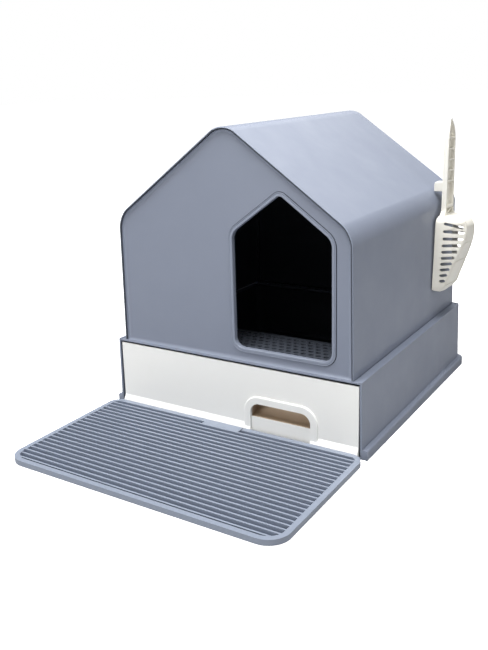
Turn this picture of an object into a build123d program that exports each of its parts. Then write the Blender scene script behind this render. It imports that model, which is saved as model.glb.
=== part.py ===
from build123d import *
import math
import os

# Drawer litter box: a house-shaped hood on a low base, a litter drawer behind a white front,
# a perforated step inside the doorway, a scoop hung on a hook and a ribbed mat in front.
# Frame: +X to the right, +Y to the back, +Z up, origin on the floor under the middle of the base.
# All sizes are in millimetres.

# ---------------------------------------------------------------- driving dimensions

# base
BASE_WIDTH = 420.0             # across the side walls at their top edge
BASE_DEPTH = 436.0             # front edge to back wall, at the top edge
BASE_HEIGHT = 111.5            # floor to the top of the rim
BASE_WALL = 3.0
BASE_LEAN = 1.8                # how far each wall stands out at the floor
BASE_CORNER = 8.0              # radius of the two upright back corners
FLOOR_THICKNESS = 2.5
FOOT_REACH = 7.5               # how far the foot stands out past the wall
FOOT_HEIGHT = 14.3
FOOT_WALL = 2.0
LEDGE_THICKNESS = 1.9
LEDGE_WIDTH = 24.0             # from the outside inwards
SHELF_DROP = 0.9               # how far the shelf under the hood lies below the rim
SIDE_RIM = 4.5
BACK_RIM = 2.0
RIM_ROUND = 1.0
FOOT_ROUND = 3.0               # along the foot's top edge

# clearances
SEAT_GAP = 0.3                 # between a lifted-off piece and its seat
GLIDE_GAP = 0.3                # between the drawer and the floor that it slides on
PANEL_GAP = 0.2                # round a panel set into the hood
SCREW_GAP = 0.1                # round a screw's shank

# drawer
FASCIA_SIDE_GAP = 2.0          # between the drawer front and the side walls
FASCIA_SHIFT = 1.2             # how far the drawer front stands to the right of the middle
FASCIA_TOP_GAP = 3.0           # between the drawer front and the ledge
FASCIA_THICKNESS = 3.0
FLARE_REACH = 5.3              # how far the drawer front's lower lip stands forward
FLARE_HEIGHT = 14.0
FLARE_EDGE = 3.5
TRAY_SIDE_GAP = 5.0
TRAY_BACK_GAP = 3.0
TRAY_HEIGHT = 98.0
TRAY_WALL = 2.5
TRAY_CORNER = 16.0
TRAY_RIM = 3.0

# pull in the drawer front
PULL_OFFSET = 85.5             # from the middle of the drawer to the middle of the pull
PULL_WIDTH = 98.0
PULL_TOP = 50.0
PULL_SILL = 27.5               # top of the lower panel seen in the pull
PULL_CORNER = 15.0
PULL_BAND = 11.0
PULL_RISE = 2.5
PULL_RECESS = 0.8              # how far the lower panel lies behind the drawer front's face
CUP_DEPTH = 24.0
CUP_WALL = 2.0
CUP_MARGIN = 3.0               # how far the cup is larger than the pull

# screws that hold the drawer front
SCREW_RADIUS = 1.6
SCREW_HEAD_RADIUS = 3.5
SCREW_HEAD_HEIGHT = 2.0
SCREW_BITE = 2.0
SCREW_EDGE = 35.0              # from the drawer's side to a screw
SCREW_SPREAD = 56.0            # between the lower and the upper screws

# hood
HOOD_WIDTH = 395.3             # at its bottom edge
HOOD_FRONT_SETBACK = 1.8
HOOD_BACK_SETBACK = 2.5
HOOD_SIDE_HEIGHT = 202.2       # bottom edge to the corner between wall and roof
HOOD_LEAN = 2.65               # how far each side leans in on its way up
ROOF_RISE = 144.0
EAVE_RADIUS = 40.0
RIDGE_RADIUS = 35.0
HOOD_SHELL = 2.8
GABLE_RECESS = 5.0
GABLE_THICKNESS = 2.8
GABLE_FLANGE = 8.0
GABLE_FLANGE_WALL = 2.2

# doorway
DOOR_OFFSET = 86.25            # from the middle of the hood to the middle of the doorway
DOOR_WIDTH = 154.9
DOOR_SILL = 19.0               # above the hood's bottom edge
DOOR_SIDE_HEIGHT = 170.0
DOOR_LOWER_CORNER = 14.0
DOOR_UPPER_CORNER = 18.0
DOOR_PEAK_CORNER = 8.0
TRIM_BAND = 6.0
TRIM_RISE = 1.6
COLLAR_DEPTH = 6.0
COLLAR_WALL = 2.2

# step
STEP_HEIGHT = 125.0            # floor to the top of the step
STEP_SIDE_GAP = 3.6            # between the step and the hood's wall, past the gable's flange
STEP_FRONT_GAP = 0.6           # between the step and the doorway's collar
STEP_DEPTH = 82.0
STEP_THICKNESS = 2.5
STEP_SKIRT = 2.0
STEP_CORNER = 6.0
HOLE_PITCH = 12.0
HOLE_LENGTH = 8.5
HOLE_WIDTH = 7.5
HOLE_MARGIN = 9.0

# hook for the scoop
HOOK_BACK_MARGIN = 80.5        # from the hood's back edge forward to the hook
HOOK_WIDTH = 14.0
HOOK_HEIGHT = 16.0
HOOK_LENGTH = 16.0
HOOK_LIFT = 7.6                # underside of the hook above the corner between wall and roof
HOOK_ROUND = 3.0
PEG_RADIUS = 4.0
PEG_LENGTH = 7.0
PEG_RISE_ANGLE = 10.0
STEM_RADIUS = 3.5
STEM_ANGLE = 40.0              # from level, up through the eave
STEM_LENGTH = 12.0
RETAINER_RADIUS = 8.0
RETAINER_THICKNESS = 4.0

# scoop
SCOOP_TURN = 6.0               # how far the hung scoop is turned towards the front, in degrees
SCOOP_LIP_HEIGHT = 164.0       # floor to the corners of the lip
SCOOP_WALL_GAP = 6.2           # between the hood's wall and the middle of the scoop's rim
BOWL_LENGTH = 119.5
BOWL_DEPTH = 45.5
BOWL_WALL = 2.2
BOWL_LIP_HALF = 41.0
BOWL_HEEL_HALF = 34.5
BOWL_LIP_BOW = 8.6             # how far the middle of the lip stands out
BOWL_LIP_DEPTH = 3.0
BOWL_TOE_DEPTH = 14.0          # depth and height where the steep toe turns into the bottom
BOWL_TOE_HEIGHT = 4.0
BOWL_KNEE_HEIGHT = 84.0        # where the bottom reaches its full depth
BOWL_TOE_ROUND = 10.0
BOWL_KNEE_ROUND = 60.0
BOWL_HEEL_ROUND = 20.0
BOWL_TAPER = 22.0              # lean of the bowl's sides, in degrees
SLOT_COUNT = 10
SLOT_PITCH = 10.4
SLOT_WIDTH = 4.6
SLOT_START = 10.7              # from the corners of the lip to the first slot
SLOT_RIM = 8.5                 # plain band between the rim and the slots
SLOT_BOTTOM = 3.5              # plain band between the slots and the bottom
HANDLE_START = 13.5            # from the bowl's heel to the first cell of the handle
HANDLE_LENGTH = 141.0          # from there to the tip
HANDLE_LOW_HALF = 14.5
HANDLE_TOP_HALF = 13.0
HANDLE_TIP = 33.0              # length of the pointed end
TIP_SHOULDER_WIDTH = 0.62      # share of the half width left, at the share of the tip's length below
TIP_SHOULDER_RISE = 0.66
HANDLE_DEPTH = 8.0
HANDLE_WALL = 2.2
HANDLE_WEB = 2.0
HANDLE_OVERLAP = 18.0          # how far the handle's root runs down behind the bowl
RIB_COUNT = 5
RIB_PITCH = 17.2
RIB_WIDTH = 2.0
PLAIN_CELL = 40.0              # long cell that the hook's peg goes through
EYE_WIDTH = 11.0
EYE_HEIGHT = 14.0
EYE_GAP = 0.4                  # between the top of the eye and the peg
HOOK_END_GAP = 1.2             # between the hook's end and the handle

# mat
MAT_WIDTH = 437.6
MAT_DEPTH = 243.6
MAT_HEIGHT = 8.7
MAT_GAP = 0.4                  # between the mat and the lip of the drawer front
MAT_FRONT_CORNER = 30.0
MAT_BACK_CORNER = 20.0
MAT_BORDER = 7.8
GROOVE_COUNT = 22
GROOVE_PITCH = 10.2
GROOVE_WIDTH = 7.2
GROOVE_DEPTH = 6.0
GROOVE_START = 12.6            # from the mat's back edge to the first groove
EDGE_GROOVE = 2.5              # width of the last, narrow groove along the front border
TAB_WIDTH = 64.0
TAB_OFFSET = -6.0              # from the middle of the mat to the middle of the tab
TAB_DEPTH = 17.0
SLIT_WIDTH = 1.5
PAD_THICKNESS = 1.0
PAD_RADIUS = 9.0
PAD_INSET = 26.0
PAD_COLUMNS = 3

# ---------------------------------------------------------------- derived places

CUT = 2.0                      # how far a cutter runs past the face that it opens

front = -BASE_DEPTH / 2
back = BASE_DEPTH / 2
lean_slope = BASE_LEAN / BASE_HEIGHT
shelf_z = BASE_HEIGHT - SHELF_DROP
ledge_low = shelf_z - LEDGE_THICKNESS
foot_half = BASE_WIDTH / 2 + BASE_LEAN + FOOT_REACH
foot_back = back + BASE_LEAN + FOOT_REACH
bay_half = BASE_WIDTH / 2 - BASE_WALL
bay_back = back - BASE_WALL

fascia_left = FASCIA_SHIFT - bay_half + FASCIA_SIDE_GAP
fascia_right = FASCIA_SHIFT + bay_half - FASCIA_SIDE_GAP
fascia_low = FLOOR_THICKNESS + GLIDE_GAP
fascia_high = ledge_low - FASCIA_TOP_GAP
fascia_back = front + FASCIA_THICKNESS
tray_half = bay_half - TRAY_SIDE_GAP
tray_back = bay_back - TRAY_BACK_GAP
tray_high = fascia_low + TRAY_HEIGHT
tray_front_inner = fascia_back + TRAY_WALL
cup_half = PULL_WIDTH / 2 + CUP_MARGIN

hood_low = shelf_z + SEAT_GAP
hood_front = front + HOOD_FRONT_SETBACK
hood_back = back - HOOD_BACK_SETBACK
eave_z = hood_low + HOOD_SIDE_HEIGHT
eave_half = HOOD_WIDTH / 2 - HOOD_LEAN
ridge_z = eave_z + ROOF_RISE
roof_angle = math.atan2(ROOF_RISE, eave_half)
gable_front = hood_front + GABLE_RECESS
gable_back = hood_back - GABLE_RECESS
door_low = hood_low + DOOR_SILL
collar_back = gable_front + COLLAR_DEPTH

step_half = HOOD_WIDTH / 2 - HOOD_SHELL - STEP_SIDE_GAP
step_front = collar_back + STEP_FRONT_GAP
step_back = step_front + STEP_DEPTH
step_seat = shelf_z + SEAT_GAP

hook_y = hood_back - HOOK_BACK_MARGIN
hook_low = eave_z + HOOK_LIFT
peg_angle = math.radians(PEG_RISE_ANGLE)
peg_z = hook_low + HOOK_HEIGHT / 2
lip_wall_x = HOOD_WIDTH / 2 - HOOD_LEAN * (SCOOP_LIP_HEIGHT - hood_low) / HOOD_SIDE_HEIGHT
scoop_x = lip_wall_x + SCOOP_WALL_GAP
hook_end = scoop_x - HOOK_END_GAP
peg_root = hook_end - PEG_RADIUS
peg_rise_at_eye = (scoop_x + HANDLE_WEB - peg_root) * math.tan(peg_angle)
peg_top_at_eye = peg_z + peg_rise_at_eye + PEG_RADIUS / math.cos(peg_angle)
handle_low = BOWL_LENGTH + HANDLE_START
handle_high = handle_low + HANDLE_LENGTH

mat_back = front - FLARE_REACH - MAT_GAP
mat_front = mat_back - MAT_DEPTH
mat_middle = (mat_back + mat_front) / 2


# ---------------------------------------------------------------- helpers

def along_y(face, y_start, y_end):
    """Extrude a face drawn with x across and y up, from y_start back to y_end."""
    return extrude(Plane.XZ.offset(-y_end) * face, y_end - y_start)


def along_x(face, x_start, x_end):
    """Extrude a face drawn with x to the back and y up, from x_start to x_end."""
    return extrude(Plane.YZ.offset(x_start) * face, x_end - x_start)


def block(x_low, x_high, y_low, y_high, z_low, z_high):
    """A plain block between two corners."""
    size = (x_high - x_low, y_high - y_low, z_high - z_low)
    return Pos(x_low, y_low, z_low) * Box(*size, align=(Align.MIN, Align.MIN, Align.MIN))


def polygon(*points):
    """A closed face through the points."""
    return make_face(Polyline(*points, close=True))


def back_rounded(half_width, y_front, y_back, radius):
    """A rectangle whose two back corners are rounded."""
    face = polygon((-half_width, y_front), (half_width, y_front), (half_width, y_back), (-half_width, y_back))
    return fillet(face.vertices().group_by(Axis.Y)[-1], radius)


def leaning_block(inset, y_front, radius, z_low, z_high):
    """The base's outer shape, set in by a wall, whose sides and back lean out towards the floor."""
    levels = []
    for z in (z_low, z_high):
        spread = lean_slope * (BASE_HEIGHT - z) - inset
        outline = back_rounded(BASE_WIDTH / 2 + spread, y_front, back + spread, radius)
        levels.append(Pos(0, 0, z) * outline)
    return loft(levels)


def hood_half(z):
    """Half the hood's outer width at a height below the eaves."""
    return HOOD_WIDTH / 2 - HOOD_LEAN * (z - hood_low) / HOOD_SIDE_HEIGHT


def hood_face(inset, z_low):
    """The hood's cross-section, set in evenly, down to z_low."""
    low = z_low - inset
    face = polygon(
        (-hood_half(low), low), (hood_half(low), low), (eave_half, eave_z), (0, ridge_z), (-eave_half, eave_z)
    )
    eaves_and_ridge = face.vertices().sort_by(Axis.Y)[2:]
    face = fillet(eaves_and_ridge[:2], EAVE_RADIUS)
    face = fillet(face.vertices().sort_by_distance((0, ridge_z))[0], RIDGE_RADIUS)
    return offset(face, -inset) if inset else face


def door_face(grow):
    """The doorway's outline, whose peak runs parallel to the roof, grown evenly."""
    half = DOOR_WIDTH / 2
    shoulder = door_low + DOOR_SIDE_HEIGHT
    peak = shoulder + half * math.tan(roof_angle)
    face = polygon((-half, door_low), (half, door_low), (half, shoulder), (0, peak), (-half, shoulder))
    face = fillet(face.vertices().group_by(Axis.Y)[0], DOOR_LOWER_CORNER)
    face = fillet(face.vertices().sort_by_distance((0, peak))[0], DOOR_PEAK_CORNER)
    face = fillet(face.vertices().sort_by_distance((half, shoulder))[0], DOOR_UPPER_CORNER)
    face = fillet(face.vertices().sort_by_distance((-half, shoulder))[0], DOOR_UPPER_CORNER)
    face = Pos(DOOR_OFFSET, 0) * face
    return offset(face, grow) if grow else face


def pull_face(grow):
    """The arched pull's outline, open at the drawer front's lower edge, grown evenly."""
    half = PULL_WIDTH / 2 + grow
    top = PULL_TOP + grow
    low = fascia_low
    face = polygon((-half, low), (half, low), (half, top), (-half, top))
    face = fillet(face.vertices().group_by(Axis.Y)[-1], PULL_CORNER + grow)
    return Pos(PULL_OFFSET, 0) * face


def screw_places():
    """Where the four screws of the drawer front are, as x and z."""
    middle = (fascia_low + fascia_high) / 2
    edge = tray_half - SCREW_EDGE
    return [(x, middle + z) for x in (-edge, edge) for z in (-SCREW_SPREAD / 2, SCREW_SPREAD / 2)]


def rod_along_y(radius, x, z, y_start, y_end):
    """A round rod along Y."""
    return along_y(Pos(x, z) * Circle(radius), y_start, y_end)


# ---------------------------------------------------------------- base and drawer

def base_frame():
    """One moulding: floor, three walls, hollow foot, and the ledge that the hood stands on."""
    foot = extrude(back_rounded(foot_half, front, foot_back, BASE_CORNER + FOOT_REACH), FOOT_HEIGHT)
    foot = fillet(foot.edges().group_by(Axis.Z)[-1].sort_by(Axis.Y)[1:], FOOT_ROUND)
    channel_face = back_rounded(
        foot_half - FOOT_WALL, front + FOOT_WALL, foot_back - FOOT_WALL, BASE_CORNER + FOOT_REACH - FOOT_WALL
    )
    foot -= Pos(0, 0, -CUT) * extrude(channel_face, FOOT_HEIGHT - FOOT_WALL + CUT)
    walls = leaning_block(0, front, BASE_CORNER, 0, BASE_HEIGHT)
    walls = fillet(walls.edges().group_by(Axis.Z)[-1].sort_by(Axis.Y)[1:], RIM_ROUND)
    bay = leaning_block(BASE_WALL, front - CUT, BASE_CORNER - BASE_WALL, FLOOR_THICKNESS, ledge_low)
    shelf = Pos(0, 0, shelf_z) * extrude(
        back_rounded(BASE_WIDTH / 2 - SIDE_RIM, front - CUT, back - BACK_RIM, BASE_CORNER), SHELF_DROP + CUT
    )
    opening = block(
        -BASE_WIDTH / 2 + LEDGE_WIDTH, BASE_WIDTH / 2 - LEDGE_WIDTH,
        front + LEDGE_WIDTH, back - LEDGE_WIDTH, ledge_low - CUT, shelf_z + CUT,
    )
    opening = fillet(opening.edges().filter_by(Axis.Z), BASE_CORNER)
    return walls + foot - bay - shelf - opening


def drawer_tray():
    """The deep litter tray, with a rolled rim and a window for the cup in its front wall."""
    depth = tray_back - fascia_back
    middle = (tray_back + fascia_back) / 2
    outer_face = RectangleRounded(2 * tray_half, depth, TRAY_CORNER)
    outer = Pos(0, middle, fascia_low) * extrude(outer_face, TRAY_HEIGHT)
    rim_face = back_rounded(tray_half + TRAY_RIM, fascia_back, tray_back, TRAY_CORNER + TRAY_RIM)
    rim = Pos(0, 0, tray_high - TRAY_WALL) * extrude(rim_face, TRAY_WALL)
    inner_face = RectangleRounded(2 * (tray_half - TRAY_WALL), depth - 2 * TRAY_WALL, TRAY_CORNER - TRAY_WALL)
    inner = Pos(0, middle, fascia_low + TRAY_WALL) * extrude(inner_face, TRAY_HEIGHT)
    inner = fillet(inner.edges().group_by(Axis.Z)[0], TRAY_CORNER / 2)
    window_half = cup_half + CUP_WALL + PANEL_GAP
    window = block(
        PULL_OFFSET - window_half, PULL_OFFSET + window_half, fascia_back - CUT, tray_front_inner + CUT,
        PULL_SILL - CUP_WALL - PANEL_GAP, PULL_TOP + CUP_MARGIN + CUP_WALL + PANEL_GAP,
    )
    tray = outer + rim - inner - window
    for x, z in screw_places():
        tray -= rod_along_y(SCREW_RADIUS + SCREW_GAP, x, z, fascia_back - CUT, tray_front_inner + CUT)
    return tray


def drawer_front():
    """The white front: a plate with a flared lower lip, and an arched band round the recessed pull."""
    plate = block(fascia_left, fascia_right, front, fascia_back, fascia_low, fascia_high)
    lip_face = polygon(
        (front, fascia_low), (front, fascia_low + FLARE_HEIGHT),
        (front - FLARE_REACH, fascia_low + FLARE_EDGE), (front - FLARE_REACH, fascia_low),
    )
    lip = along_x(lip_face, fascia_left, fascia_right)
    band = along_y(pull_face(PULL_BAND), front - PULL_RISE, front)
    recess = along_y(pull_face(0), front - FLARE_REACH - CUT, front + PULL_RECESS)
    hole = along_y(pull_face(0), front, fascia_back + CUT)
    hole &= block(fascia_left, fascia_right, front, fascia_back + CUT, PULL_SILL, fascia_high)
    fascia = plate + lip + band - recess - hole
    for x, z in screw_places():
        fascia -= rod_along_y(SCREW_RADIUS + SCREW_GAP, x, z, fascia_back - SCREW_BITE, fascia_back + CUT)
    return fascia


def drawer_front_screws():
    """Four pan-head screws, driven from inside the tray into the drawer front."""
    screws = []
    for x, z in screw_places():
        shank = rod_along_y(SCREW_RADIUS, x, z, fascia_back - SCREW_BITE, tray_front_inner)
        head = rod_along_y(SCREW_HEAD_RADIUS, x, z, tray_front_inner, tray_front_inner + SCREW_HEAD_HEIGHT)
        screws.append(shank + head)
    return Compound(screws)


def finger_cup():
    """The cup behind the pull, set in the tray's window, that keeps litter away from the fingers."""
    cup_back = tray_front_inner + CUP_DEPTH
    outer = block(
        PULL_OFFSET - cup_half - CUP_WALL, PULL_OFFSET + cup_half + CUP_WALL, fascia_back, cup_back,
        PULL_SILL - CUP_WALL, PULL_TOP + CUP_MARGIN + CUP_WALL,
    )
    hollow = block(
        PULL_OFFSET - cup_half, PULL_OFFSET + cup_half, fascia_back - CUT, cup_back - CUP_WALL,
        PULL_SILL, PULL_TOP + CUP_MARGIN,
    )
    return outer - hollow


# ---------------------------------------------------------------- hood

def hood_shell():
    """Sides and roof in one bent sheet, with a hole in the right eave for the hook's stem."""
    shell = along_y(hood_face(0, hood_low), hood_front, hood_back)
    shell -= along_y(hood_face(HOOD_SHELL, hood_low - CUT), hood_front - CUT, hood_back + CUT)
    return shell - stem(STEM_RADIUS + SCREW_GAP, HOOD_SHELL + RETAINER_THICKNESS)


def gable(y_start, flange_start, flange_end):
    """A gable panel set into the hood, with a flange along its edge."""
    face = hood_face(HOOD_SHELL + PANEL_GAP, hood_low)
    panel = along_y(face, y_start, y_start + GABLE_THICKNESS)
    inner_face = hood_face(HOOD_SHELL + PANEL_GAP + GABLE_FLANGE_WALL, hood_low - CUT)
    flange = along_y(face, flange_start, flange_end)
    return panel + (flange - along_y(inner_face, flange_start - CUT, flange_end + CUT))


def front_gable():
    """The front gable, with the hole for the doorway."""
    inner_side = gable_front + GABLE_THICKNESS
    panel = gable(gable_front, inner_side, inner_side + GABLE_FLANGE)
    return panel - along_y(door_face(COLLAR_WALL + PANEL_GAP), gable_front - CUT, collar_back + CUT)


def rear_gable():
    """The closed gable at the back."""
    inner_side = gable_back - GABLE_THICKNESS
    return gable(inner_side, inner_side - GABLE_FLANGE, inner_side)


def doorway_trim():
    """The raised band round the doorway, with a collar that lines the hole."""
    opening = along_y(door_face(0), gable_front - TRIM_RISE - CUT, collar_back + CUT)
    band = along_y(door_face(TRIM_BAND), gable_front - TRIM_RISE, gable_front)
    collar = along_y(door_face(COLLAR_WALL), gable_front, collar_back)
    return band + collar - opening


def step_deck():
    """The perforated step over the front of the drawer, standing on the ledge."""
    width = 2 * step_half
    middle = (step_front + step_back) / 2
    skirt_height = STEP_HEIGHT - STEP_THICKNESS - step_seat
    outer_face = RectangleRounded(width, STEP_DEPTH, STEP_CORNER)
    inner_face = offset(outer_face, -STEP_SKIRT)
    deck = Pos(0, middle, step_seat) * extrude(outer_face, STEP_HEIGHT - step_seat)
    deck -= Pos(0, middle, step_seat - CUT) * extrude(inner_face, skirt_height + CUT)
    rows = int((STEP_DEPTH - 2 * HOLE_MARGIN) // HOLE_PITCH) + 1
    columns = int((width - 2 * HOLE_MARGIN) // HOLE_PITCH)
    hole_low = STEP_HEIGHT - STEP_THICKNESS - CUT
    hole = extrude(SlotOverall(HOLE_LENGTH, HOLE_WIDTH), STEP_THICKNESS + 2 * CUT)
    holes = []
    for row in range(rows):
        stagger = HOLE_PITCH / 4 if row % 2 else -HOLE_PITCH / 4
        y = middle + (row - (rows - 1) / 2) * HOLE_PITCH
        for column in range(columns):
            x = stagger + (column - (columns - 1) / 2) * HOLE_PITCH
            holes.append(Pos(x, y, hole_low) * hole)
    return deck - holes


# ---------------------------------------------------------------- hook and scoop

def stem_plane():
    """The plane on the right eave where the hook's stem goes in; its normal points out of the hood."""
    reach = EAVE_RADIUS * math.tan((math.pi / 2 - roof_angle) / 2)
    angle = math.radians(STEM_ANGLE)
    outward = Vector(math.cos(angle), 0, math.sin(angle))
    centre = Vector(eave_half - EAVE_RADIUS, hook_y, eave_z - reach)
    return Plane(origin=centre + outward * EAVE_RADIUS, x_dir=(0, 1, 0), z_dir=outward)


def stem(radius, length):
    """The hook's stem, or the hole for it, from inside the hook down through the eave."""
    root = HOOK_HEIGHT / 2
    return extrude(stem_plane().offset(root) * Circle(radius), -(length + root))


def scoop_hook():
    """A block on the eave, with a stem through the shell and a peg for the scoop."""
    low_y = hook_y - HOOK_WIDTH / 2
    inner_end = hook_end - HOOK_LENGTH
    top = hook_low + HOOK_HEIGHT
    face = polygon((inner_end, eave_z), (hook_end, hook_low), (hook_end, top), (inner_end, top))
    face = fillet(face.vertices().sort_by_distance((inner_end, top))[0], HOOK_ROUND)
    hook = along_y(face, low_y, low_y + HOOK_WIDTH)
    hook -= along_y(offset(hood_face(0, hood_low), SCREW_GAP), hood_front, hood_back)
    hook += stem(STEM_RADIUS, STEM_LENGTH)
    peg_plane = Plane(
        origin=(peg_root, hook_y, peg_z), z_dir=(math.cos(peg_angle), 0, math.sin(peg_angle))
    )
    return hook + extrude(peg_plane * Circle(PEG_RADIUS), PEG_LENGTH + PEG_RADIUS)


def hook_retainer():
    """The round nut that holds the hook's stem inside the eave."""
    sag = RETAINER_RADIUS ** 2 / (2 * (EAVE_RADIUS - HOOD_SHELL))
    start = stem_plane().offset(-HOOD_SHELL - sag - PANEL_GAP)
    ring = extrude(start * Circle(RETAINER_RADIUS), -RETAINER_THICKNESS)
    return ring - stem(STEM_RADIUS + SCREW_GAP, STEM_LENGTH + CUT)


def bowl_depth(height):
    """Depth of the bowl at a height above the corners of its lip."""
    share = min(1, max(0, (height - BOWL_TOE_HEIGHT) / (BOWL_KNEE_HEIGHT - BOWL_TOE_HEIGHT)))
    return BOWL_TOE_DEPTH + share * (BOWL_DEPTH - BOWL_TOE_DEPTH)


def bowl_profile(open_side):
    """The bowl's side view, with depth across and height up, from its open side to its bottom."""
    low = -BOWL_LIP_BOW
    lip = (BOWL_LIP_DEPTH, low)
    toe = (BOWL_TOE_DEPTH, BOWL_TOE_HEIGHT)
    knee = (BOWL_DEPTH, BOWL_KNEE_HEIGHT)
    heel = (BOWL_DEPTH, BOWL_LENGTH)
    face = polygon((open_side, low), lip, toe, knee, heel, (open_side, BOWL_LENGTH))
    for corner, radius in ((toe, BOWL_TOE_ROUND), (knee, BOWL_KNEE_ROUND), (heel, BOWL_HEEL_ROUND)):
        face = fillet(face.vertices().sort_by_distance(corner)[0], radius)
    return face


def bowl_section(height, open_side):
    """The bowl's cross-section at a height, past its bottom, with leaning sides."""
    half = BOWL_LIP_HALF + (BOWL_HEEL_HALF - BOWL_LIP_HALF) * height / BOWL_LENGTH
    lean = math.tan(math.radians(BOWL_TAPER))
    deep = BOWL_DEPTH + CUT
    wide = half - open_side * lean
    narrow = half - deep * lean
    return polygon((open_side, -wide), (deep, -narrow), (deep, narrow), (open_side, wide))


def bowl_block(inset):
    """The bowl's outer shape, or its hollow when set in by the wall."""
    open_side = -CUT if inset else 0
    low = -BOWL_LIP_BOW - CUT
    high = BOWL_LENGTH + CUT
    half = BOWL_LIP_HALF + CUT
    section_low = bowl_section(low, open_side - inset)
    section_high = bowl_section(high, open_side - inset)
    lip = make_face([
        ThreePointArc((-BOWL_LIP_HALF, 0), (0, -BOWL_LIP_BOW), (BOWL_LIP_HALF, 0)),
        Polyline((BOWL_LIP_HALF, 0), (half, high), (-half, high), (-BOWL_LIP_HALF, 0)),
    ])
    profile = bowl_profile(open_side - inset)
    if inset:
        section_low, section_high, lip, profile = [
            offset(face, -inset) for face in (section_low, section_high, lip, profile)
        ]
    bowl = loft([Pos(0, 0, low) * section_low, Pos(0, 0, high) * section_high])
    return bowl & along_y(profile, -half, half) & along_x(lip, -2 * CUT, BOWL_DEPTH + CUT)


def scoop_handle():
    """A channel with cross ribs and a pointed end, open away from the hood."""
    straight = handle_high - HANDLE_TIP
    root = BOWL_LENGTH - HANDLE_OVERLAP

    def outline(inset):
        low = HANDLE_LOW_HALF - inset
        high = HANDLE_TOP_HALF - inset
        tip = handle_high - inset
        shoulder = straight + TIP_SHOULDER_RISE * (tip - straight)
        return make_face([
            Polyline((-high, straight), (-low, root), (low, root), (high, straight)),
            ThreePointArc((high, straight), (high * TIP_SHOULDER_WIDTH, shoulder), (0, tip)),
            ThreePointArc((0, tip), (-high * TIP_SHOULDER_WIDTH, shoulder), (-high, straight)),
        ])

    handle = extrude(Plane.YZ * outline(0), HANDLE_DEPTH)
    hollow = extrude(Plane.YZ.offset(HANDLE_WEB) * outline(HANDLE_WALL), HANDLE_DEPTH)
    cell_top = handle_low + PLAIN_CELL
    hollow &= block(0, HANDLE_DEPTH + CUT, -BOWL_LIP_HALF, BOWL_LIP_HALF, handle_low, handle_high)
    for rib in range(RIB_COUNT):
        low = cell_top + rib * RIB_PITCH
        hollow -= block(0, HANDLE_DEPTH + CUT, -BOWL_LIP_HALF, BOWL_LIP_HALF, low, low + RIB_WIDTH)
    return handle - hollow


def scoop():
    """A slotted bowl and its handle, hung on the hook with its open side to the hood."""
    bowl = bowl_block(0)
    neck_low = BOWL_LENGTH - BOWL_WALL
    neck_high = handle_low + HANDLE_OVERLAP
    neck = polygon(
        (-BOWL_HEEL_HALF, neck_low), (-HANDLE_LOW_HALF, neck_high),
        (HANDLE_LOW_HALF, neck_high), (BOWL_HEEL_HALF, neck_low),
    )
    solid = bowl + extrude(Plane.YZ * neck, BOWL_WALL)
    hollow = bowl_block(BOWL_WALL)
    for slot in range(SLOT_COUNT):
        z = SLOT_START + slot * SLOT_PITCH
        reach = bowl_depth(z) - SLOT_BOTTOM
        hollow += block(SLOT_RIM, reach, -BOWL_LIP_HALF, BOWL_LIP_HALF, z, z + SLOT_WIDTH)
    solid = solid + scoop_handle() - hollow
    eye_top = peg_top_at_eye - SCOOP_LIP_HEIGHT + EYE_GAP
    eye_face = RectangleRounded(EYE_WIDTH, EYE_HEIGHT, PEG_RADIUS)
    eye = Plane.YZ.offset(-CUT) * Pos(0, eye_top - EYE_HEIGHT / 2) * eye_face
    solid -= extrude(eye, HANDLE_WEB + 2 * CUT)
    return Pos(scoop_x, hook_y, SCOOP_LIP_HEIGHT) * Rot(0, 0, -SCOOP_TURN) * solid


# ---------------------------------------------------------------- mat

def mat_outline(inset):
    """The mat's outline, set in evenly, with larger corners at the front."""
    half = MAT_WIDTH / 2 - inset
    y_back = mat_back - inset
    y_front = mat_front + inset
    face = polygon((-half, y_front), (half, y_front), (half, y_back), (-half, y_back))
    face = fillet(face.vertices().group_by(Axis.Y)[-1], MAT_BACK_CORNER - inset)
    return fillet(face.vertices().group_by(Axis.Y)[0], MAT_FRONT_CORNER - inset)


def mat_board():
    """The ribbed board that catches litter from the paws, with a flat tab at its back edge."""
    board = Pos(0, 0, PAD_THICKNESS) * extrude(mat_outline(0), MAT_HEIGHT - PAD_THICKNESS)
    half = MAT_WIDTH / 2
    groove_low = MAT_HEIGHT - GROOVE_DEPTH
    top = MAT_HEIGHT + CUT
    bars = Part()
    for groove in range(GROOVE_COUNT):
        y = mat_back - GROOVE_START - groove * GROOVE_PITCH
        bars += block(-half, half, y - GROOVE_WIDTH / 2, y + GROOVE_WIDTH / 2, groove_low, top)
    field_low = mat_front + MAT_BORDER
    bars += block(-half, half, field_low, field_low + EDGE_GROOVE, groove_low, top)
    bars &= Pos(0, 0, groove_low - CUT) * extrude(mat_outline(MAT_BORDER), GROOVE_DEPTH + 2 * CUT)
    tab_left = TAB_OFFSET - TAB_WIDTH / 2
    tab_right = TAB_OFFSET + TAB_WIDTH / 2
    tab_front = mat_back - TAB_DEPTH
    bars -= block(tab_left, tab_right, tab_front, mat_back, groove_low - CUT, top + CUT)
    slit = block(tab_right, tab_right + SLIT_WIDTH, tab_front, mat_back + CUT, -CUT, top)
    return board - bars - slit


def mat_pads():
    """Anti-slip pads under the mat."""
    half = MAT_WIDTH / 2 - PAD_INSET
    xs = [-half + 2 * half * column / (PAD_COLUMNS - 1) for column in range(PAD_COLUMNS)]
    ys = (mat_front + PAD_INSET, mat_back - PAD_INSET)
    return Compound([Pos(x, y, 0) * extrude(Circle(PAD_RADIUS), PAD_THICKNESS) for x in xs for y in ys])


# ---------------------------------------------------------------- write the parts

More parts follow.
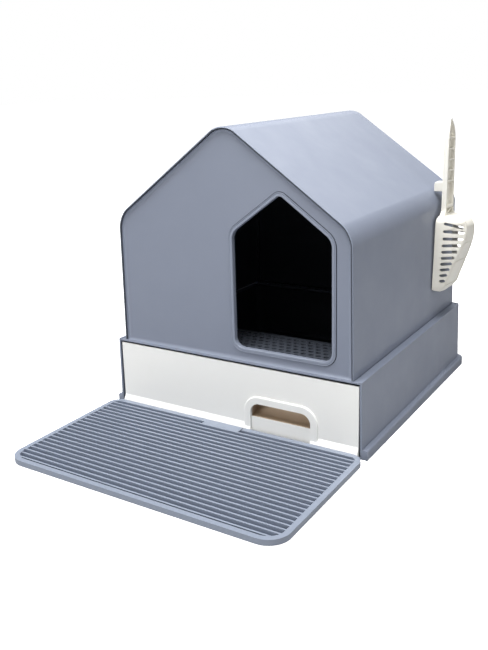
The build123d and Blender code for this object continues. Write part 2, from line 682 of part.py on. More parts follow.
pieces = {
    "base_frame": base_frame,
    "drawer_tray": drawer_tray,
    "drawer_front": drawer_front,
    "drawer_front_screws": drawer_front_screws,
    "finger_cup": finger_cup,
    "step_deck": step_deck,
    "hood_shell": hood_shell,
    "front_gable": front_gable,
    "rear_gable": rear_gable,
    "doorway_trim": doorway_trim,
    "scoop_hook": scoop_hook,
    "hook_retainer": hook_retainer,
    "scoop": scoop,
    "mat_board": mat_board,
    "mat_pads": mat_pads,
}

os.makedirs("parts", exist_ok=True)
for name, make in pieces.items():
    export_step(make(), f"parts/{name}.step")
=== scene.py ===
import logging
import math
from contextlib import contextmanager
from dataclasses import dataclass, field, replace
from enum import Enum
from typing import Callable, Iterator

import bmesh
import bpy
from mathutils import Matrix, Vector


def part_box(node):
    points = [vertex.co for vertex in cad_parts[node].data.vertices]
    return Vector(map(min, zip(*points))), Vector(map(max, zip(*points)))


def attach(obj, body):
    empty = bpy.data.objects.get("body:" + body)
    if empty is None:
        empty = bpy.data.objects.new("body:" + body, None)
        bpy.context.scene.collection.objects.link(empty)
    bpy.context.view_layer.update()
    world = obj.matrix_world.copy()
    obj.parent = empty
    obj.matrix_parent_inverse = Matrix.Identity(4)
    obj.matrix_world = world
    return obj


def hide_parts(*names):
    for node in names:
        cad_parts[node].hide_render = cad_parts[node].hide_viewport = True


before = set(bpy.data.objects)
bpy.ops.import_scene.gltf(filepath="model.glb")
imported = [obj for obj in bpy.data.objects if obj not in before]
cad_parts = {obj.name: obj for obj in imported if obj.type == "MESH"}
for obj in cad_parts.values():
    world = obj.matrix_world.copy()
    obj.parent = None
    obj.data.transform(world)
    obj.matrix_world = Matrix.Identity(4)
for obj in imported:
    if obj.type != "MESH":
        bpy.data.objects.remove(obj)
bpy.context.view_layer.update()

MM = 0.001
NEAR = 0.05 * MM
# How far a cutter reaches past what it cuts.
PAST = 5.0 * MM
Piece = bpy.types.Object
Test = Callable[[Vector, Vector], bool]
log = logging.getLogger("litter_box")


# ------------------------------------------------------------------ modelling by hand

class Pick(Enum):
    """What edit mode selects."""

    POINT = "VERT"
    EDGE = "EDGE"
    FACE = "FACE"


class Join(Enum):
    """How two bodies are put together."""

    CUT = "DIFFERENCE"
    ADD = "UNION"
    KEEP = "INTERSECT"


class Side(Enum):
    """An end of the box, as the sign of its outward direction along Y."""

    FRONT = -1
    BACK = 1


def take(piece: Piece) -> None:
    """Make one object the only selected one.

    Args:
        piece: the object.
    """
    bpy.ops.object.select_all(action="DESELECT")
    piece.select_set(True)
    bpy.context.view_layer.objects.active = piece


def settle(name: str) -> Piece:
    """Name a new primitive and put its place and size into its mesh.

    Args:
        name: the piece's name.

    Returns:
        The new object, at the origin and unscaled.
    """
    piece = bpy.context.object
    piece.name = name
    piece.data.name = name
    bpy.ops.object.transform_apply(location=True, rotation=True, scale=True)
    return piece


def block(name: str, low: tuple, high: tuple) -> Piece:
    """Add a cube stretched between two corners.

    Args:
        name: the piece's name.
        low: its lowest corner.
        high: its highest corner.

    Returns:
        The new object.
    """
    bpy.ops.object.select_all(action="DESELECT")
    bpy.ops.mesh.primitive_cube_add(size=1.0, location=(Vector(low) + Vector(high)) / 2)
    bpy.context.object.scale = Vector(high) - Vector(low)
    return settle(name)


def rod(name: str, radius: float, start: tuple, end: tuple, sides: int = 48) -> Piece:
    """Add a round rod between two points.

    Args:
        name: the piece's name.
        radius: its radius.
        start: the middle of its first end.
        end: the middle of its other end.
        sides: how many flats its round has.

    Returns:
        The new object.
    """
    run = Vector(end) - Vector(start)
    bpy.ops.object.select_all(action="DESELECT")
    bpy.ops.mesh.primitive_cylinder_add(
        vertices=sides, radius=radius, depth=run.length, location=(Vector(start) + Vector(end)) / 2,
        rotation=run.to_track_quat("Z", "Y").to_euler(),
    )
    return settle(name)


@contextmanager
def editing(piece: Piece) -> Iterator[None]:
    """Open a piece in edit mode with nothing selected, and close it afterwards.

    Args:
        piece: the object.

    Returns:
        Nothing to bind; the piece stays open while the block runs.
    """
    take(piece)
    bpy.ops.object.mode_set(mode="EDIT")
    bpy.ops.mesh.select_all(action="DESELECT")
    yield
    bpy.ops.object.mode_set(mode="OBJECT")


def pick(piece: Piece, what: Pick, test: Test) -> int:
    """Select the points, edges or faces that pass a test, and nothing else.

    Args:
        piece: the object in edit mode.
        what: the kind of part.
        test: takes a part's middle and its direction, which is an edge's run or a normal.

    Returns:
        How many parts passed.
    """
    bpy.ops.mesh.select_mode(type=what.value)
    bpy.ops.mesh.select_all(action="DESELECT")
    mesh = bmesh.from_edit_mesh(piece.data)
    if what is Pick.POINT:
        parts = [(point, point.co, point.normal) for point in mesh.verts]
    elif what is Pick.EDGE:
        ends = [(edge, edge.verts[0].co, edge.verts[1].co) for edge in mesh.edges]
        parts = [(edge, (a + b) / 2, (b - a).normalized()) for edge, a, b in ends]
    else:
        parts = [(face, face.calc_center_median(), face.normal) for face in mesh.faces]
    found = [part for part, middle, way in parts if test(middle, way)]
    for part in found:
        part.select_set(True)
    mesh.select_flush_mode()
    bmesh.update_edit_mesh(piece.data)
    return len(found)


def slide(way: tuple) -> None:
    """Move what is selected in edit mode."""
    bpy.ops.transform.translate(value=way, orient_type="GLOBAL")


def stretch(factors: tuple, about: tuple) -> None:
    """Scale what is selected in edit mode about a point."""
    bpy.ops.transform.resize(value=factors, orient_type="GLOBAL", center_override=about)


def pull_out(way: tuple) -> None:
    """Extrude what is selected in edit mode."""
    bpy.ops.mesh.extrude_region_move(TRANSFORM_OT_translate={"value": way, "orient_type": "GLOBAL"})


def inset(width: float, depth: float = 0.0) -> None:
    """Inset the selected faces as one region."""
    bpy.ops.mesh.inset(thickness=width, depth=depth, use_even_offset=True, use_boundary=True)


def round_edges(piece: Piece, test: Test, radius: float, segments: int = 12) -> None:
    """Round the edges that pass a test.

    Args:
        piece: the object in edit mode.
        test: takes an edge's middle and its run.
        radius: the radius of the round.
        segments: how many flats it has.
    """
    pick(piece, Pick.EDGE, test)
    mesh = bmesh.from_edit_mesh(piece.data)
    turn = max(edge.calc_face_angle() for edge in mesh.edges if edge.select)
    bpy.ops.mesh.bevel(
        offset=radius * math.tan(turn / 2), offset_type="OFFSET", segments=segments, affect="EDGES",
        clamp_overlap=False,
    )


def modify(piece: Piece, kind: str, **settings: object) -> None:
    """Add a modifier with its settings and apply it.

    Args:
        piece: the object.
        kind: the modifier's type.
        settings: the modifier's own properties.
    """
    take(piece)
    modifier = piece.modifiers.new(kind.title(), kind)
    for key, value in settings.items():
        setattr(modifier, key, value)
    bpy.ops.object.modifier_apply(modifier=modifier.name)


def join(piece: Piece, other: Piece, way: Join) -> None:
    """Cut, add or keep one body's share of another, which is used up."""
    modify(piece, "BOOLEAN", operation=way.value, object=other, solver="EXACT")
    bpy.data.objects.remove(other, do_unlink=True)


def soften(piece: Piece, radius: float, segments: int = 3, angle: float = 40.0) -> None:
    """Round all the sharp edges of a piece a little, as a mould does.

    Args:
        piece: the object.
        radius: the radius of the rounds.
        segments: how many flats they have.
        angle: the least turn, in degrees, that counts as sharp.
    """
    modify(
        piece, "BEVEL", width=radius, segments=segments, limit_method="ANGLE", angle_limit=math.radians(angle),
        use_clamp_overlap=True, miter_outer="MITER_ARC",
    )


def smooth(piece: Piece, angle: float = 35.0) -> None:
    """Shade a piece smoothly, with its flat faces kept flat.

    Args:
        piece: the object.
        angle: the turn, in degrees, past which an edge stays sharp.
    """
    take(piece)
    bpy.ops.object.shade_smooth_by_angle(angle=math.radians(angle))
    modify(piece, "WEIGHTED_NORMAL", keep_sharp=True, weight=100)


# ------------------------------------------------------------------ finishes

def linear(colour: str) -> tuple:
    """Turn an sRGB hex colour to linear.

    Args:
        colour: six hex digits.

    Returns:
        Red, green, blue and an alpha of one.
    """
    parts = [int(colour[place:place + 2], 16) / 255 for place in (0, 2, 4)]
    return (*[part / 12.92 if part <= 0.04045 else ((part + 0.055) / 1.055) ** 2.4 for part in parts], 1.0)


def add_node(
    tree: bpy.types.NodeTree, kind: str, links: dict | None = None, **settings: object
) -> bpy.types.Node:
    """Add a shader node with its settings, and its sockets' values or links.

    Args:
        tree: the material's node tree.
        kind: the node's type.
        links: a value or another node's output for each socket.
        settings: the node's own properties.

    Returns:
        The new node.
    """
    node = tree.nodes.new(kind)
    for key, value in settings.items():
        setattr(node, key, value)
    for key, value in (links or {}).items():
        if isinstance(value, bpy.types.NodeSocket):
            tree.links.new(value, node.inputs[key])
        else:
            node.inputs[key].default_value = value
    return node


@dataclass(frozen=True)
class MouldedPlastic:
    """Injection-moulded plastic: one colour, faint flow clouds, a fine eroded grain."""

    name: str
    colour: str
    cloud: str
    roughness: float
    spread: float
    grain: float
    relief: float
    cloud_size: float = 60 * MM
    ior: float = 1.49

    def make(self) -> bpy.types.Material:
        """Build the material.

        Returns:
            The new material.
        """
        material = bpy.data.materials.new(self.name)
        material.use_nodes = True
        material.diffuse_color = linear(self.colour)
        tree = material.node_tree
        tree.nodes.clear()
        place = add_node(tree, "ShaderNodeTexCoord").outputs["Object"]
        clouds = add_node(
            tree, "ShaderNodeTexNoise",
            {"Vector": place, "Scale": 1 / self.cloud_size, "Detail": 3.0, "Roughness": 0.55},
        )
        speck = add_node(
            tree, "ShaderNodeTexNoise",
            {"Vector": place, "Scale": 1 / (2 * self.grain), "Detail": 2.0, "Roughness": 0.6},
        )
        tone = add_node(
            tree, "ShaderNodeMix",
            {"Factor": clouds.outputs["Fac"], "A": linear(self.colour), "B": linear(self.cloud)},
            data_type="RGBA",
        )
        gloss = add_node(
            tree, "ShaderNodeMapRange",
            {
                "Value": clouds.outputs["Fac"], "From Min": 0.3, "From Max": 0.7,
                "To Min": self.roughness - self.spread, "To Max": self.roughness + self.spread,
            },
        )
        bump = add_node(
            tree, "ShaderNodeBump",
            {"Height": speck.outputs["Fac"], "Distance": self.relief, "Strength": 1.0},
        )
        shader = add_node(
            tree, "ShaderNodeBsdfPrincipled",
            {
                "Base Color": tone.outputs["Result"], "Roughness": gloss.outputs["Result"], "IOR": self.ior,
                "Normal": bump.outputs["Normal"],
            },
        )
        add_node(tree, "ShaderNodeOutputMaterial", {"Surface": shader.outputs["BSDF"]})
        return material


@dataclass(frozen=True)
class PlatedSteel:
    """Zinc-plated steel: a cool metal with faint tarnish."""

    name: str
    colour: str
    tarnish: str
    roughness: float

    def make(self) -> bpy.types.Material:
        """Build the material.

        Returns:
            The new material.
        """
        material = bpy.data.materials.new(self.name)
        material.use_nodes = True
        tree = material.node_tree
        tree.nodes.clear()
        place = add_node(tree, "ShaderNodeTexCoord").outputs["Object"]
        clouds = add_node(
            tree, "ShaderNodeTexNoise", {"Vector": place, "Scale": 1 / (3 * MM), "Detail": 3.0}
        )
        tone = add_node(
            tree, "ShaderNodeMix",
            {"Factor": clouds.outputs["Fac"], "A": linear(self.colour), "B": linear(self.tarnish)},
            data_type="RGBA",
        )
        shader = add_node(
            tree, "ShaderNodeBsdfPrincipled",
            {"Base Color": tone.outputs["Result"], "Roughness": self.roughness, "Metallic": 1.0},
        )
        add_node(tree, "ShaderNodeOutputMaterial", {"Surface": shader.outputs["BSDF"]})
        return material


# Polypropylene in slate grey, moulded in an eroded tool: a satin, blue-grey skin with soft highlights.
SLATE = MouldedPlastic("slate_polypropylene", "808797", "7c8393", 0.46, 0.05, 0.35 * MM, 0.012 * MM)
# The same plastic, a little lighter in colour as a painted highlight on the raised rims, with the smoother face
# that a polished part of the tool leaves.
SLATE_RIM_PAINTED_HIGHLIGHT = MouldedPlastic("slate_rim_painted_highlight", "868d9d", "828999", 0.36, 0.04, 0.35 * MM, 0.006 * MM)
# Polypropylene in a paler slate, moulded thin: the mat is glossier on its crests.
SLATE_MAT = MouldedPlastic("slate_mat_polypropylene", "858d9c", "808897", 0.38, 0.05, 0.4 * MM, 0.01 * MM)
# The same plastic coloured darker, as painted shade on the faces inside the hood, on the tray and on the step:
# dull and nearly black in shade.
SLATE_PAINTED_SHADE = MouldedPlastic("painted_shade_slate_polypropylene", "4a4f59", "464b55", 0.55, 0.05, 0.35 * MM, 0.012 * MM)
# White ABS with a fine grain: bright, with a soft satin gloss.
WHITE = MouldedPlastic("white_abs", "efefec", "ecece9", 0.36, 0.04, 0.3 * MM, 0.008 * MM, ior=1.53)
# Cream polypropylene, moulded thin in a polished tool: slightly warm and glossier.
CREAM = MouldedPlastic("cream_polypropylene", "ebe8df", "e6e3d9", 0.30, 0.04, 0.3 * MM, 0.006 * MM)
# Beige polypropylene for the cup behind the pull: its own warm tone, darkened by painted shade; dull.
BEIGE_WITH_PAINTED_SHADE = MouldedPlastic("beige_polypropylene_with_painted_shade", "c9b49c", "c2ad95", 0.5, 0.05, 0.3 * MM, 0.01 * MM)
# Black thermoplastic rubber: a dull skin that lets light die.
RUBBER = MouldedPlastic("thermoplastic_rubber", "3a3a3c", "343436", 0.8, 0.05, 0.4 * MM, 0.02 * MM, ior=1.5)
# Zinc-plated steel screws, bright with a little tarnish.
ZINC = PlatedSteel("zinc_plated_steel", "c9cbcd", "b5b7b8", 0.32)


# ------------------------------------------------------------------ sub-assemblies

@dataclass
class Assembly:
    """Pieces that move with one body of the frame."""

    body: str = ""

    def dress(self, piece: Piece, finish: MouldedPlastic | PlatedSteel, slot: str, *nodes: str) -> None:
        """Finish a new piece, let it ride, and let it stand for its CAD nodes.

        Args:
            piece: the new object.
            finish: what it is made of.
            slot: the record's material slot; not used.
            nodes: the CAD nodes that it stands for.
        """
        piece.data.materials.clear()
        piece.data.materials.append(material_of(finish))
        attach(piece, self.body)
        if nodes:
            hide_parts(*nodes)
        log.info("%s: %d faces, rides on %s", piece.name, len(piece.data.polygons), self.body)

    def line(self, piece: Piece, finish: MouldedPlastic, test: Test) -> None:
        """Give the faces that pass a test a second material, here a darker copy that paints shade on them.

        Args:
            piece: the dressed object.
            finish: the second material, whose darker colour is painted shade.
            test: takes a face's middle and its normal.
        """
        piece.data.materials.append(material_of(finish))
        for face in piece.data.polygons:
            if test(face.center, face.normal):
                face.material_index = 1

    def keep(self, node: str, finish: MouldedPlastic | PlatedSteel) -> None:
        """Give a CAD node that stays its material.

        Args:
            node: the node's name.
            finish: what it is made of.
        """
        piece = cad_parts[node]
        piece.data.materials.clear()
        piece.data.materials.append(material_of(finish))
        log.info("%s: kept, %d faces", node, len(piece.data.polygons))


def material_of(finish: MouldedPlastic | PlatedSteel) -> bpy.types.Material:
    """Find a finish's material, or make it once."""
    return bpy.data.materials.get(finish.name) or finish.make()


@dataclass(frozen=True)
class HouseOutline:
    """A five-sided outline: two sides, two slopes and a base, with rounded corners."""

    middle: float
    low: float
    shoulder: float
    peak: float
    half_low: float
    half_high: float
    low_radius: float
    shoulder_radius: float
    peak_radius: float

    @property
    def pitch(self) -> float:
        """The slopes' angle from level."""
        return math.atan2(self.peak - self.shoulder, self.half_high)

    def grown(self, width: float, at_base: bool = True) -> "HouseOutline":
        """The same outline, grown evenly, or set in where the width is negative.

        Args:
            width: how far it grows.
            at_base: whether the base moves too.

        Returns:
            The new outline.
        """
        half_high = self.half_high + width
        peak = self.peak + width / math.cos(self.pitch)
        return replace(
            self, low=self.low - (width if at_base else 0.0), peak=peak, half_high=half_high,
            half_low=self.half_low + width, shoulder=peak - half_high * math.tan(self.pitch),
            low_radius=self.low_radius + (width if self.low_radius else 0.0),
            shoulder_radius=self.shoulder_radius + width, peak_radius=self.peak_radius + width,
        )

    def body(self, name: str, front: float, back: float, segments: int = 20) -> Piece:
        """Build the outline as a solid from front to back.

        Args:
            name: the piece's name.
            front: its front face.
            back: its back face.
            segments: how many flats each rounded corner has.

        Returns:
            The new object.
        """
        house = block(
            name, (self.middle - self.half_low, front, self.low),
            (self.middle + self.half_low, back, self.shoulder),
        )
        lean = self.half_low - self.half_high
        with editing(house):
            bpy.ops.mesh.select_all(action="SELECT")
            bpy.ops.mesh.bisect(plane_co=(self.middle, 0, 0), plane_no=(1, 0, 0))
            top = self.shoulder - NEAR
            pick(house, Pick.POINT, lambda at, _: abs(at.x - self.middle) < NEAR and at.z > top)
            slide((0, 0, self.peak - self.shoulder))
            for side in (-1, 1):
                pick(house, Pick.POINT, lambda at, _: (at.x - self.middle) * side > NEAR and at.z > top)
                slide((-side * lean, 0, 0))
            round_edges(
                house, lambda at, way: abs(way.y) > 0.9 and at.z > self.peak - NEAR, self.peak_radius, segments
            )
            for side in (-1, 1):
                round_edges(
                    house,
                    lambda at, way: abs(way.y) > 0.9 and abs(at.z - self.shoulder) < NEAR
                    and (at.x - self.middle) * side > self.half_high - NEAR,
                    self.shoulder_radius, segments,
                )
            if self.low_radius:
                round_edges(
                    house,
                    lambda at, way: abs(way.y) > 0.9 and at.z < self.low + NEAR
                    and abs(at.x - self.middle) > self.half_low - NEAR,
                    self.low_radius, segments,
                )
        return house


@dataclass
class Hood(Assembly):
    """The house-shaped hood: a bent shell, two recessed gables, the doorway's trim and the hook."""

    body: str = "hood"
    side_height: float = 202.2 * MM
    lean: float = 2.65 * MM
    rise: float = 144.0 * MM
    eave_radius: float = 40.0 * MM
    ridge_radius: float = 35.0 * MM
    wall: float = 2.8 * MM
    panel_gap: float = 0.9 * MM
    panel: float = 2.8 * MM
    recess: float = 5.0 * MM
    cove: float = 6.0 * MM
    cove_rise: float = 3.4 * MM
    cove_steps: int = 6
    flange: float = 8.0 * MM
    flange_wall: float = 2.2 * MM
    edge: float = 1.3 * MM
    door_middle: float = 86.25 * MM
    door_half: float = 77.45 * MM
    door_sill: float = 19.0 * MM
    door_side: float = 170.0 * MM
    door_rounds: tuple = (14.0 * MM, 18.0 * MM, 8.0 * MM)
    band: float = 6.0 * MM
    band_rise: float = 1.6 * MM
    band_seat: float = 1.5 * MM
    groove_edge: float = 1.1 * MM
    groove_side: float = 0.35 * MM
    groove_floor: float = 0.5 * MM
    groove_depth: float = 0.7 * MM
    round_over: float = 0.9 * MM
    trim_edge: float = 0.35 * MM
    collar_wall: float = 2.2 * MM
    collar: float = 6.0 * MM
    shadow_gap: float = 0.9 * MM
    hook_end: float = 201.96 * MM
    hook_size: float = 16.0 * MM
    hook_corner: float = 5.0 * MM
    hook_edge: float = 1.6 * MM
    eave_gap: float = 0.1 * MM
    peg_rise: float = 10.0
    peg_radius: float = 4.0 * MM
    peg_length: float = 12.8 * MM
    peg_round: float = 1.5 * MM
    peg_inside: float = 6.0 * MM
    peg_height: float = 7.65 * MM
    low: Vector = field(default_factory=lambda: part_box("hood_shell")[0])
    high: Vector = field(default_factory=lambda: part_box("hood_shell")[1])

    def outline(self) -> HouseOutline:
        """The hood's outer cross-section.

        Returns:
            The outline.
        """
        half = self.high.x
        shoulder = self.low.z + self.side_height
        return HouseOutline(
            0.0, self.low.z, shoulder, shoulder + self.rise, half, half - self.lean, 0.0, self.eave_radius,
            self.ridge_radius,
        )

    def doorway(self) -> HouseOutline:
        """The doorway's opening, whose slopes run parallel to the roof.

        Returns:
            The outline.
        """
        low = self.low.z + self.door_sill
        shoulder = low + self.door_side
        peak = shoulder + self.door_half * math.tan(self.outline().pitch)
        return HouseOutline(
            self.door_middle, low, shoulder, peak, self.door_half, self.door_half, *self.door_rounds
        )

    def shell(self) -> Piece:
        """Bend the sides and roof out of one sheet.

        Returns:
            The shell.
        """
        shell = self.outline().body("hood_sheet", self.low.y, self.high.y, 28)
        with editing(shell):
            pick(shell, Pick.FACE, lambda _, way: abs(way.y) > 0.9 or way.z < -0.9)
            bpy.ops.mesh.delete(type="FACE")
        modify(shell, "SOLIDIFY", thickness=self.wall, offset=-1.0, use_even_offset=True)
        soften(shell, self.edge, 3, 50.0)
        smooth(shell)
        return shell

    def gable(self, side: Side) -> Piece:
        """Form a gable panel, coved up to the shell at its edge and flanged behind.

        Args:
            side: the end of the hood that it closes.

        Returns:
            The gable.
        """
        way = side.value
        outer = (self.high.y if way > 0 else self.low.y) - way * self.recess
        rim = outer + way * self.cove_rise
        inner = outer - way * self.panel
        name = "gable_front" if side is Side.FRONT else "gable_back"
        panel = self.outline().grown(-self.wall - self.panel_gap, at_base=False).body(
            name, min(rim, inner), max(rim, inner), 24
        )
        with editing(panel):
            pick(panel, Pick.FACE, lambda _, normal: normal.y * way > 0.9)
            for step in range(self.cove_steps):
                start, end = (math.pi / 2 * place / self.cove_steps for place in (step, step + 1))
                across = self.cove * (math.cos(start) - math.cos(end))
                inset(across, -self.cove_rise * (math.sin(end) - math.sin(start)))
            pick(panel, Pick.FACE, lambda at, normal: normal.y * way < -0.9)
            known = set(bmesh.from_edit_mesh(panel.data).faces)
            inset(self.flange_wall)
            mesh = bmesh.from_edit_mesh(panel.data)
            ring = {face for face in mesh.faces if not face.select and face not in known}
            for face in mesh.faces:
                face.select_set(face in ring)
            bmesh.update_edit_mesh(panel.data)
            pull_out((0, -way * self.flange, 0))
        return panel

    def front_gable(self) -> Piece:
        """Cut the doorway's hole in the front gable.

        Returns:
            The gable.
        """
        panel = self.gable(Side.FRONT)
        hole = self.doorway().grown(self.collar_wall + self.panel_gap).body(
            "door_hole", self.low.y - self.collar, self.low.y + 3 * self.collar
        )
        join(panel, hole, Join.CUT)
        face = self.low.y + self.recess
        seat = self.doorway().grown(self.band + self.shadow_gap)
        seat = seat.body("band_seat", face - MM, face + self.band_seat)
        join(panel, seat, Join.CUT)
        smooth(panel, 30.0)
        return panel

    def trim(self) -> Piece:
        """Form the raised band round the doorway and the collar that lines it.

        Returns:
            The trim.
        """
        face = self.low.y + self.recess
        trim = self.doorway().grown(self.band).body("doorway_band", face - self.band_rise, face, 14)
        end = face + self.collar
        grooved = self.groove_edge + 2 * self.groove_side + self.groove_floor
        with editing(trim):
            pick(trim, Pick.FACE, lambda _, way: way.y < -0.9)
            inset(self.groove_edge)
            inset(self.groove_side, -self.groove_depth)
            inset(self.groove_floor)
            inset(self.groove_side, self.groove_depth)
            inset(self.band - grooved - self.round_over)
            for across, down in ((0.3, 0.1), (0.4, 0.4), (0.3, 0.5)):
                inset(self.round_over * across, -self.round_over * down)
            mesh = bmesh.from_edit_mesh(trim.data)
            floor = next(item for item in mesh.faces if item.select).calc_center_median().y
            pull_out((0, end - floor, 0))
            bpy.ops.mesh.delete(type="FACE")
            pick(trim, Pick.FACE, lambda _, way: way.y > 0.9)
            inset(self.band - self.collar_wall)
            pull_out((0, end - face, 0))
            bpy.ops.mesh.delete(type="FACE")
            pick(trim, Pick.EDGE, lambda at, way: at.y > end - NEAR and abs(way.y) < 0.1)
            bpy.ops.mesh.bridge_edge_loops()
        soften(trim, self.trim_edge, 2, 60.0)
        smooth(trim, 30.0)
        return trim

    def hook(self) -> Piece:
        """Form the block on the eave, with the peg that carries the scoop.

        Returns:
            The hook.
        """
        low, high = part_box("scoop_hook")
        middle = (low.y + high.y) / 2
        top = high.z
        bottom = top - self.hook_size
        end = self.hook_end
        hook = block("hook_block", (end - self.hook_size, low.y, bottom), (end, high.y, top))
        with editing(hook):
            round_edges(
                hook, lambda at, way: abs(way.y) > 0.9 and at.z > top - NEAR and at.x < end - NEAR,
                self.hook_corner, 8,
            )
        soften(hook, self.hook_edge, 4, 60.0)
        join(hook, self.outline().grown(self.eave_gap).body("eave", self.low.y, self.high.y, 20), Join.CUT)
        rise = math.radians(self.peg_rise)
        way = Vector((math.cos(rise), 0, math.sin(rise)))
        root = Vector((end - self.peg_inside, middle, bottom + self.peg_height))
        peg = rod("peg", self.peg_radius, root, root + way * self.peg_length, 32)
        with editing(peg):
            round_edges(peg, lambda at, run: at.x > end and abs(run.dot(way)) < 0.1, self.peg_round, 4)
        join(hook, peg, Join.ADD)
        smooth(hook, 40.0)
        return hook

    def build(self) -> None:
        """Build the hood and dress it."""
        shell = self.shell()
        middle = Vector((0, 0, self.low.z + self.side_height))
        self.dress(shell, SLATE, "slate_plastic", "hood_shell")
        # The shell's inner faces take the darker slate: painted shade inside the hood.
        self.line(shell, SLATE_PAINTED_SHADE, lambda at, way: way.dot(Vector((at.x, 0, at.z)) - middle) < -NEAR)
        front = self.front_gable()
        self.dress(front, SLATE, "slate_plastic", "front_gable")
        # The gable's back and flange take the darker slate: painted shade inside the hood.
        self.line(front, SLATE_PAINTED_SHADE, lambda at, way: at.y > self.low.y + self.recess + 0.5 * self.panel)
        rear = self.gable(Side.BACK)
        smooth(rear, 30.0)
        self.dress(rear, SLATE, "slate_plastic", "rear_gable")
        # The gable's inner faces take the darker slate: painted shade inside the hood.
        self.line(rear, SLATE_PAINTED_SHADE, lambda at, way: at.y < self.high.y - self.recess - 0.5 * self.panel)
        # The trim takes a lighter copy of the slate: a painted highlight on the raised band.
        self.dress(self.trim(), SLATE_RIM_PAINTED_HIGHLIGHT, "slate_plastic", "doorway_trim")
        self.dress(self.hook(), CREAM, "white_plastic", "scoop_hook")
        self.keep("hook_retainer", WHITE)


@dataclass
class Base(Assembly):
    """The low base: walls, hollow foot, floor and the ledge under the hood."""

    body: str = "base"
    wall: float = 3.0 * MM
    lean: float = 1.8 * MM
    corner: float = 8.0 * MM
    floor: float = 2.5 * MM
    foot_reach: float = 7.5 * MM
    foot_height: float = 14.3 * MM
    foot_wall: float = 2.0 * MM
    foot_round: float = 3.0 * MM
    ledge: float = 1.9 * MM
    ledge_width: float = 24.0 * MM
    shelf_drop: float = 0.9 * MM
    side_rim: float = 4.5 * MM
    back_rim: float = 2.0 * MM
    edge: float = 0.7 * MM
    low: Vector = field(default_factory=lambda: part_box("base_frame")[0])
    high: Vector = field(default_factory=lambda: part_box("base_frame")[1])

    @property
    def top_half(self) -> float:
        """Half the body's width at its top."""
        return self.high.x - self.foot_reach - self.lean

    @property
    def top_back(self) -> float:
        """The back of the body at its top."""
        return self.high.y - self.foot_reach - self.lean

    def slab(
        self, name: str, half: float, front: float, back: float, low: float, high: float, radius: float
    ) -> Piece:
        """Add a block with two rounded back corners.

        Args:
            name: the piece's name.
            half: half its width.
            front: its front face.
            back: its back face.
            low: its underside.
            high: its top.
            radius: the radius of its back corners.

        Returns:
            The new object.
        """
        piece = block(name, (-half, front, low), (half, back, high))
        with editing(piece):
            round_edges(piece, lambda at, way: abs(way.z) > 0.9 and at.y > back - NEAR, radius, 10)
        return piece

    def leaning(self, name: str, set_in: float, front: float, low: float, high: float, radius: float) -> Piece:
        """Add a block whose sides and back lean out towards the floor.

        Args:
            name: the piece's name.
            set_in: how far it is smaller than the base's outside.
            front: its front face.
            low: its underside.
            high: its top.
            radius: the radius of its back corners.

        Returns:
            The new object.
        """
        slope = self.lean / self.high.z
        spread = slope * (self.high.z - high) - set_in
        more = slope * (high - low)
        half = self.top_half + spread
        piece = block(name, (-half, front, low), (half, self.top_back + spread, high))
        with editing(piece):
            for side in (-1, 1):
                pick(piece, Pick.POINT, lambda at, _: at.x * side > 0 and at.z < low + NEAR)
                slide((side * more, 0, 0))
            pick(piece, Pick.POINT, lambda at, _: at.y > 0 and at.z < low + NEAR)
            slide((0, more, 0))
            round_edges(piece, lambda at, way: abs(way.z) > 0.9 and at.y > 0, radius, 10)
        return piece

    def frame_piece(self) -> Piece:
        """Build the base as one moulding.

        Returns:
            The base.
        """
        front = self.low.y
        shelf = self.high.z - self.shelf_drop
        under = shelf - self.ledge
        foot_corner = self.corner + self.foot_reach
        base = self.leaning("base_moulding", 0.0, front, 0.0, self.high.z, self.corner)
        foot = self.slab("foot", self.high.x, front, self.high.y, 0.0, self.foot_height, foot_corner)
        with editing(foot):
            round_edges(
                foot,
                lambda at, way: at.z > self.foot_height - NEAR and abs(way.z) < 0.1 and at.y > front + NEAR,
                self.foot_round, 6,
            )
        channel = self.slab(
            "channel", self.high.x - self.foot_wall, front + self.foot_wall, self.high.y - self.foot_wall,
            -PAST, self.foot_height - self.foot_wall, foot_corner - self.foot_wall,
        )
        join(foot, channel, Join.CUT)
        join(base, foot, Join.ADD)
        bay = self.leaning("bay", self.wall, front - PAST, self.floor, under, self.corner - self.wall)
        join(base, bay, Join.CUT)
        seat = self.slab(
            "seat", self.top_half - self.side_rim, front - PAST, self.top_back - self.back_rim, shelf,
            self.high.z + PAST, self.corner,
        )
        join(base, seat, Join.CUT)
        opening = block(
            "opening", (-self.top_half + self.ledge_width, front + self.ledge_width, under - PAST),
            (self.top_half - self.ledge_width, self.top_back - self.ledge_width, shelf + PAST),
        )
        with editing(opening):
            round_edges(opening, lambda _, way: abs(way.z) > 0.9, self.corner, 6)
        join(base, opening, Join.CUT)
        soften(base, self.edge, 3, 50.0)
        smooth(base, 35.0)
        return base

    def build(self) -> None:
        """Build the base and dress it."""
        self.dress(self.frame_piece(), SLATE, "slate_plastic", "base_frame")


